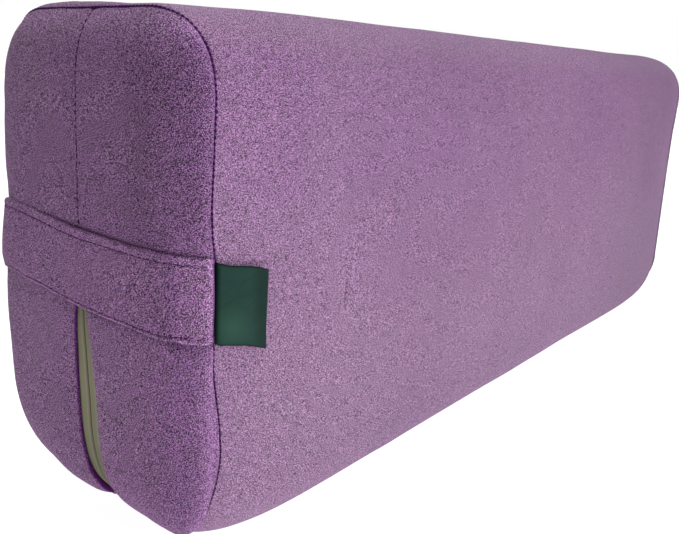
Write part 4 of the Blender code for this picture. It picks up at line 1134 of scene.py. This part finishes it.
def strap_meshes():
    steps = 521
    outer, inner, q = strap_plan(steps)
    prof = strap_profile()
    K = len(prof)
    u = q / q[-1]
    rows = stitch_rows(u)
    zm = np.interp(u, *STRAP_LINE)
    zm = np.convolve(np.pad(zm, 20, "edge"), np.ones(41) / 41, "valid")
    lateral = outer - inner
    thick = np.linalg.norm(lateral, axis=1)
    nn = lateral / thick[:, None]
    W = np.repeat(prof[:, 0][None, :], steps, 0)
    front = (prof[:, 1] > 0.72)[None, :]
    Q = np.repeat(q[:, None], K, 1)
    hole = 0.5 + 0.5 * np.cos(2 * math.pi * Q / STITCH)
    E = np.zeros_like(W)                                     # extra height on the front
    for a in rows:
        g = np.exp(-((W - a[:, None]) / 0.50) ** 2)
        E -= g * (0.05 + 0.45 * hole ** 4)
        E -= 0.08 * np.exp(-((W - a[:, None]) / 2.0) ** 2)
    E += 0.16 * np.exp(-((np.abs(W) - 17.0) / 1.2) ** 2) + 0.14 * np.exp(-(W / 10.5) ** 2)
    pts = np.column_stack([Q.ravel(), W.ravel()])
    E += 0.16 * value_noise(pts, 11.0, 51).reshape(Q.shape) + 0.22 * value_noise(pts * (0.35, 1.0), 16.0, 54).reshape(Q.shape)
    # a small pull at one stitch near the label, lower edge
    E -= 0.5 * np.exp(-(((Q - 9.0) / 1.6) ** 2 + ((W + 15.2) / 1.2) ** 2))
    H = thick[:, None] * prof[:, 1][None, :] + front * E * np.clip(thick / VIS_T, 0, 1)[:, None]
    edge = 0.30 * value_noise(np.column_stack([q, q * 0]), 9.0, 52)[:, None] * np.sign(W)
    edge += 0.16 * value_noise(np.column_stack([q, q * 0 + 3]), 3.9, 57)[:, None] * np.sign(W)
    W2 = W + edge * np.clip((np.abs(W) - 14) / 4, 0, 1)
    # the band draws in a little at its sewn ends
    squeeze = 1 - 0.035 * (1 - smooth01(np.minimum(q, q[-1] - q) / 14))[:, None]
    H = H + strap_lean(u[:, None], W) + (0.3 * np.exp(-((u - 0.36) / 0.22) ** 2))[:, None] * np.clip(W / 18.4, 0, 1)
    X = inner[:, 0][:, None] + nn[:, 0][:, None] * H
    Y = inner[:, 1][:, None] + nn[:, 1][:, None] * H
    Z = zm[:, None] + W2 * squeeze
    # painted shade in the stitch holes and where the strap's ends sink into the seam
    painted_shade = np.zeros_like(H)
    for a in rows:
        painted_shade = np.maximum(painted_shade, front * np.exp(-((W - a[:, None]) / 0.46) ** 2) * (0.02 + 0.90 * hole ** 5))
    ends = np.minimum(q, q[-1] - q)
    painted_shade = np.maximum(painted_shade, (1 - smooth01((ends - 4.2) / 2.0))[:, None] * np.ones_like(H))
    # painted sheen of the nap along the strap
    nap_sheen = np.interp(u, [0, 0.05, 0.09, 0.2, 0.5, 0.7, 1], [0.5, 0.45, 0.35, 0.15, 0.2, 0.45, 0.45])[:, None]
    nap_sheen = np.clip(nap_sheen + 0.14 * value_noise(pts, 30.0, 75).reshape(Q.shape), 0, 1)
    # painted violet shade at the strap's bend near the label
    violet_shade = np.repeat((0.6 * np.exp(-((u - 0.125) / 0.022) ** 2))[:, None], K, 1)
    # painted light along the strap: brighter near the label, darker away from it, with pale painted edges
    painted_light = np.interp(u, [0, 0.03, 0.105, 0.135, 0.3, 0.5, 0.75, 0.9, 1], [0.80, 0.88, 0.86, 0.64, 0.64, 0.65, 0.62, 0.56, 0.52])
    painted_light = painted_light[:, None] * (1 + 0.22 * smooth01((np.abs(W) - 16.9) / 0.8))
    mid = steps // 2
    halves = []
    for sign, name, sl in ((-1, "strap_right_half", slice(0, mid + 1)), (1, "strap_left_half", slice(mid, steps))):
        x, y, z = X[sl], Y[sl], Z[sl]
        R = x.shape[0]
        F = grid_quads(R, K, True).tolist()
        F.append(tuple(range(K - 1, -1, -1)))
        F.append(tuple((R - 1) * K + i for i in range(K)))
        ob = make(name, np.column_stack([x.ravel(), y.ravel(), z.ravel()]), F, mat_strap,
                  {"painted_shade": painted_shade[sl].ravel(), "nap_sheen": nap_sheen[sl].ravel(), "violet_shade": violet_shade[sl].ravel(), "painted_light": painted_light[sl].ravel()})
        outward(ob)
        halves.append(ob)
    # stitches lie between the holes, in the groove
    threads = []
    for row, side_name in zip(rows, ("low", "top")):
        qs = np.arange(STITCH * 2, q[-1] - STITCH * 1.5, STITCH) + STITCH / 2
        at = lambda v: np.interp(qs, q, v)
        a, uu = at(row), at(u)
        m = np.column_stack([at(nn[:, 0]), at(nn[:, 1])])
        m /= np.linalg.norm(m, axis=1)[:, None]
        wave = 0.16 * value_noise(np.column_stack([qs, a]), 11.0, 51)
        wave += 0.22 * value_noise(np.column_stack([qs * 0.35, a]), 16.0, 54)
        hh = at(thick) - 0.10 + wave + strap_lean(uu, a) + 0.3 * np.exp(-((uu - 0.36) / 0.22) ** 2) * np.clip(a / 18.4, 0, 1)
        ctr = np.column_stack([at(inner[:, 0]) + m[:, 0] * hh, at(inner[:, 1]) + m[:, 1] * hh, at(zm) + a])
        nrm = np.column_stack([m, np.zeros(len(m))])
        dz = np.gradient(at(zm) + a, qs)
        drn = np.column_stack([-m[:, 1], m[:, 0], dz])
        drn[:, :2] *= np.sign((np.gradient(ctr[:, 1])) * drn[:, 1])[:, None]
        drn /= np.linalg.norm(drn, axis=1)[:, None]
        for sgn, half in ((-1, "right"), (1, "left")):
            # beside the label the stitches take the pale thread as a painted highlight, elsewhere the dark thread as
            # painted shade
            for lit, mat in ((True, mat_thread_highlight), (False, mat_thread_shaded)):
                sel = (ctr[:, 1] * sgn > 0) & ((uu < 0.085) == lit)
                if not sel.any():
                    continue
                V, F = capsules(ctr[sel], drn[sel], nrm[sel], np.full(int(sel.sum()), STITCH * 0.54), 0.19 if lit else 0.25,
                                arch=0.08)
                threads.append((make(f"strap_thread_{side_name}_{half}" + ("_painted_highlight" if lit else ""), V, F, mat), sgn))
    return halves, threads


def outward(ob):
    bm = bmesh.new()
    bm.from_mesh(ob.data)
    bmesh.ops.recalc_face_normals(bm, faces=bm.faces)
    bm.to_mesh(ob.data)
    bm.free()


(strap_right, strap_left), strap_threads = strap_meshes()
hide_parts("strap_band", "strap_tail_right")
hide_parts("strap_band", "strap_tail_left")


def strap_blend(ob):
    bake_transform(ob)


for ob, sign in ((strap_right, -1), (strap_left, 1)):
    strap_blend(ob)
for ob, sign in strap_threads:
    strap_blend(ob)


# ------------------------------------------------------------------ side label
def side_surface(x, z):
    f = fullness(x)
    lo, hi = underside(x), SEAM_TOP + SWELL_TOP * f
    w = (z - (lo + hi) / 2) / ((hi - lo) / 2)
    return HALF_WID + SWELL_SIDE * f + CROWN_SIDE * f * (1 - w * w)


def side_label():
    """A folded piece of satin: front leaf, rounded fold at the free edge, back leaf."""
    x0, x1 = -HALF_LEN + float(wander(-1, -1, STRAP_Z)) + 0.10, -271.6
    cols = 45
    w = np.linspace(-1, 1, cols)
    tucked = [(x0 + 0.05, HALF_WID - 3.6), (x0 + 0.06, HALF_WID - 2.0), (x0 + 0.09, HALF_WID - 0.5),
              (x0 + 0.22, HALF_WID + 0.35), (x0 + 0.60, HALF_WID + 0.68)]
    xs = np.linspace(x0 + 1.2, x1, 45)
    half = 0.33
    line = [(x, y, 0.0) for x, y in tucked] + [(x, None, 1.0) for x in xs]
    pts = []
    for x, y, free in line:
        u = min(max((x - x0) / (x1 - x0), 0), 1)
        top = float(np.interp(x, [-295.9, -294.7, -291.9, -288.3, -280.2, -275.5, -272.2, -271.0],
                              [148.2, 147.7, 146.8, 145.9, 144.7, 143.7, 142.5, 141.8]))
        low = float(np.interp(x, [-295.9, -295.2, -292.8, -285.7, -282.0, -278.2, -271.5, -271.0],
                              [114.2, 113.4, 112.2, 111.1, 110.5, 109.3, 106.8, 106.6]))
        zs = (top + low) / 2 + w * (top - low) / 2
        if free:
            base = side_surface(x, zs) + 0.62 + 0.35 * (1 - math.exp(-(x - x0) / 5.0)) + 1.3 * u ** 1.2 + 0.35 * math.sin(u * math.pi)
            base = base + 0.30 * np.sin(u * 6.0 + w * 1.9) * u + 0.45 * u * np.clip(-w, 0, 1) ** 2
            # two soft folds that start at the seam a little under half way up
            base = base - 0.40 * np.exp(-((zs - (129.6 + 6 * u)) / 0.8) ** 2) * math.exp(-u / 0.30)
            base = base - 0.34 * np.exp(-((zs - (126.4 + 2 * u)) / 0.7) ** 2) * math.exp(-u / 0.22)
            base = base + 0.25 * np.exp(-((zs - (128.0 + 4 * u)) / 1.1) ** 2) * math.exp(-u / 0.3)
        else:
            base = np.full(cols, y)
        pts.append((x, base, zs, u))
    V, hem_and_shade, lit = [], [], []

    def add(x, yy, zz, u, front):
        for j in range(cols):
            V.append((x, -yy[j], zz[j]))
            h = max(0.0, 1 - (1 - abs(w[j])) * 18.2 / 1.05)
            # painted shade at the sewn end and over the right part, on top of the dark hems
            h = max(h, 0.9 * max(0.0, 1 - (x - x0) / 0.75), 0.42 * smooth01((u - 0.60) / 0.3))
            hem_and_shade.append(min(1.0, float(h)) if front else 0.3)
            lit.append(math.exp(-(((u - 0.28) / 0.30) ** 2 + ((w[j] + 0.55) / 0.45) ** 2)))
    for x, yy, zz, u in pts:
        add(x, yy + (half if x > x0 + 0.5 else 0.12), zz, u, True)
    x, yy, zz, u = pts[-1]
    for al in np.linspace(20, 160, 7):
        q = math.radians(al)
        add(x + half * 1.2 * math.sin(q), yy + half * math.cos(q), zz, u, True)
    for x, yy, zz, u in pts[::-1]:
        add(x, yy - (half if x > x0 + 0.5 else 0.12), zz, u, False)
    n = len(V) // cols
    ob = make("label_satin_piece", V, grid_quads(n, cols), satin_material(), {"hem_and_shade": hem_and_shade, "lit": lit})
    mod = ob.modifiers.new("thickness", "SOLIDIFY")
    mod.thickness = 0.00026
    mod.offset = 0.0
    mod.use_rim = True
    apply_modifiers(ob)
    return ob


label = side_label()
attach(label, "label")
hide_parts("side_label")


# ------------------------------------------------------------------ zip tapes
mat_tape = tape_material()


def zip_tape(sign, name):
    last = int(np.argmin(abs(ROUTE[:, 0] - ZIP_END) + 1000 * (ROUTE[:, 1] > 20)))
    first = int(np.argmin(abs(ROUTE[:, 1] - ZIP_TOP) + 1000 * (ROUTE[:, 0] > 0)))
    ids = np.unique(np.r_[np.arange(first, min(RING_AT + 30, last), 1), np.arange(RING_AT + 30, last, 3), last])
    yv = np.array([0.30, 0.36, 0.5, 0.75, 1.1, 1.5, 1.9, 2.4, 3.0, 3.6, 4.2, 4.8, 5.4, 6.2, 7.2, 8.4, 9.8, 11.2, 11.9])
    rise = (0.42 * np.exp(-((yv - 1.5) / 0.9) ** 2) - 1.0 * np.exp(-(yv - 0.30) / 0.16)
            - 0.16 * np.exp(-((yv - 3.9) / 0.55) ** 2) + 0.12 * np.exp(-((yv - 5.6) / 1.6) ** 2))
    V, weave, across, painted_shade = [], [], [], []
    wave = 0.16 * value_noise(np.column_stack([ids * 1.0, ids * 0.0]), 14.0, 61)
    for layer in (0, 1):
        for j, i in enumerate(ids):
            for yy, rr in zip(yv, rise):
                dep = TAPE_AT[i] + 0.10 - rr - wave[j] + 0.45 * layer
                p = ROUTE[i] + INWARD[i] * dep
                V.append((p[0], sign * yy, p[1]))
                weave.append(float(i))
                across.append(yy)
                # painted shadow: darker under the strap at the top and where the tape turns under
                shade = float(np.interp(ROUTE[i, 1], [20, 34, 50, 66, 90, 104, 113], [0.42, 0.30, 0.14, 0.06, 0.08, 0.20, 0.45]))
                painted_shade.append(max(shade, 1 - (yy - 0.30) / 0.30, 0.35 * math.exp(-((yy - 3.9) / 0.3) ** 2)))
    n, k = len(ids), len(yv)
    F = [tuple(f) for f in grid_quads(n, k).tolist()]
    top = n * k
    F += [tuple(top + i for i in reversed(f)) for f in F]
    for r in range(n - 1):
        a, b = r * k, (r + 1) * k
        F.append((a, b, top + b, top + a))
        a, b = r * k + k - 1, (r + 1) * k + k - 1
        F.append((a, top + a, top + b, b))
    for c in range(k - 1):
        F.append((c + 1, c, top + c, top + c + 1))
        a = (n - 1) * k + c
        F.append((a, a + 1, top + a + 1, top + a))
    return make(name, zip_sway(np.array(V)), F, mat_tape, {"weave": weave, "across": across, "painted_shade": painted_shade})


for sign, side in ((1, "left"), (-1, "right")):
    ob = zip_tape(sign, "tape_" + side)
    outward(ob)
    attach(ob, "root")
    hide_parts("zip_tape_" + side)

# ------------------------------------------------------------------ carried-over pieces
finish_of = {
    "foam_core": (foam_material(), "foam"),
}
mat_wad, mat_line, mat_coil, mat_metal = wadding_material(), lining_material(), coil_material(), metal_material()
for n in ("wadding_wrap", "wadding_end_strap_side", "wadding_end_plain_side", "crown_pad_plain_side"):
    finish_of[n] = (mat_wad, "wadding")
# the strap end's crown pad lies a little deeper where the zip's line wanders over it
pad_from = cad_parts["crown_pad_strap_side"]
pad_v = np.array([tuple(pad_from.matrix_world @ q.co) for q in pad_from.data.vertices]) * 1000 - (X_SHIFT, 0, 0)
pad_w = pad_v.copy()
pad_w[:, 0] += 3.0 * smooth01((-293.7 - pad_v[:, 0]) / 8)
pad_w[:, 1] -= np.sign(pad_v[:, 1]) * 2.5 * smooth01((abs(pad_v[:, 1]) - 35) / 30)
pad_w[:, 2] += 3.0 * smooth01((60 - pad_v[:, 2]) / 30) - 3.0 * smooth01((pad_v[:, 2] - 200) / 30)
pad = make("crown_pad_soft", pad_w, [tuple(q.vertices) for q in pad_from.data.polygons], mat_wad)
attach(pad, "root")
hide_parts("crown_pad_strap_side")
for n in ("inner_liner", "liner_end_strap_side", "liner_end_plain_side"):
    finish_of[n] = (mat_line, "lining")
for n in ("zip_coil_left", "zip_coil_right"):
    finish_of[n] = (mat_coil, "zip_coil")
for n in ("zip_start_stop", "zip_end_stop_left", "zip_end_stop_right", "zip_slider", "zip_pull_tab"):
    finish_of[n] = (mat_metal, "zip_metal")
for n, (mat, slot_name) in finish_of.items():
    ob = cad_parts[n]
    ob.data.materials.clear()
    ob.data.materials.append(mat)
    if slot_name == "zip_metal":
        b = ob.modifiers.new("edge", "BEVEL")
        b.width = 0.00022
        b.segments = 3
        b.limit_method = "ANGLE"
        b.angle_limit = math.radians(35)

# ------------------------------------------------------------------ floor and light
def floor_material():
    k = Nodes("floor")
    p = k.coords((1.0, 1.0, 1.0))
    n = k.noise(p, 9.0, 2.0, 0.5)
    col = k.mix(n, (0.27, 0.27, 0.27), (0.29, 0.29, 0.29))
    return k.finish(**{"Base Color": col, "Roughness": 0.9, "Specular IOR Level": 0.05,
                       "Emission Color": (1.0, 1.0, 1.0, 1.0), "Emission Strength": 0.95})


bpy.ops.mesh.primitive_plane_add(size=14, location=(0, 0, -0.0004))
floor = bpy.context.active_object
floor.name = "floor"
floor.data.materials.append(floor_material())

world = bpy.data.worlds.new("studio")
world.use_nodes = True
wt = world.node_tree
bg = wt.nodes["Background"]
bg.inputs[0].default_value = (1.0, 1.0, 1.0, 1.0)
# a pale room behind the bolster, dimmer towards the strap end
wc = wt.nodes.new("ShaderNodeTexCoord")
wd = wt.nodes.new("ShaderNodeVectorMath")
wd.operation = "DOT_PRODUCT"
wd.inputs[1].default_value = (0.78, 0.60, 0.10)
wr = wt.nodes.new("ShaderNodeMapRange")
wr.interpolation_type = "SMOOTHSTEP"
for key, v in (("From Min", -0.15), ("From Max", 0.6), ("To Min", 0.08), ("To Max", 1.0)):
    wr.inputs[key].default_value = v
wt.links.new(wc.outputs["Generated"], wd.inputs[0])
wt.links.new(wd.outputs["Value"], wr.inputs["Value"])
wt.links.new(wr.outputs["Result"], bg.inputs[1])
bpy.context.scene.world = world


def sun(name, towards, strength, angle_deg):
    data = bpy.data.lights.new(name, "SUN")
    data.energy = strength
    data.angle = math.radians(angle_deg)
    ob = bpy.data.objects.new(name, data)
    ob.rotation_mode = "QUATERNION"
    ob.rotation_quaternion = (-Vector(towards)).to_track_quat("-Z", "Y")
    bpy.context.scene.collection.objects.link(ob)
    return ob


sun("key", (0.42, -1.0, 0.34), 1.50, 28)
sun("top", (0.1, 0.10, 1.0), 1.1, 40)

bpy.context.scene.view_settings.view_transform = "Standard"
bpy.context.scene.view_settings.look = "None"
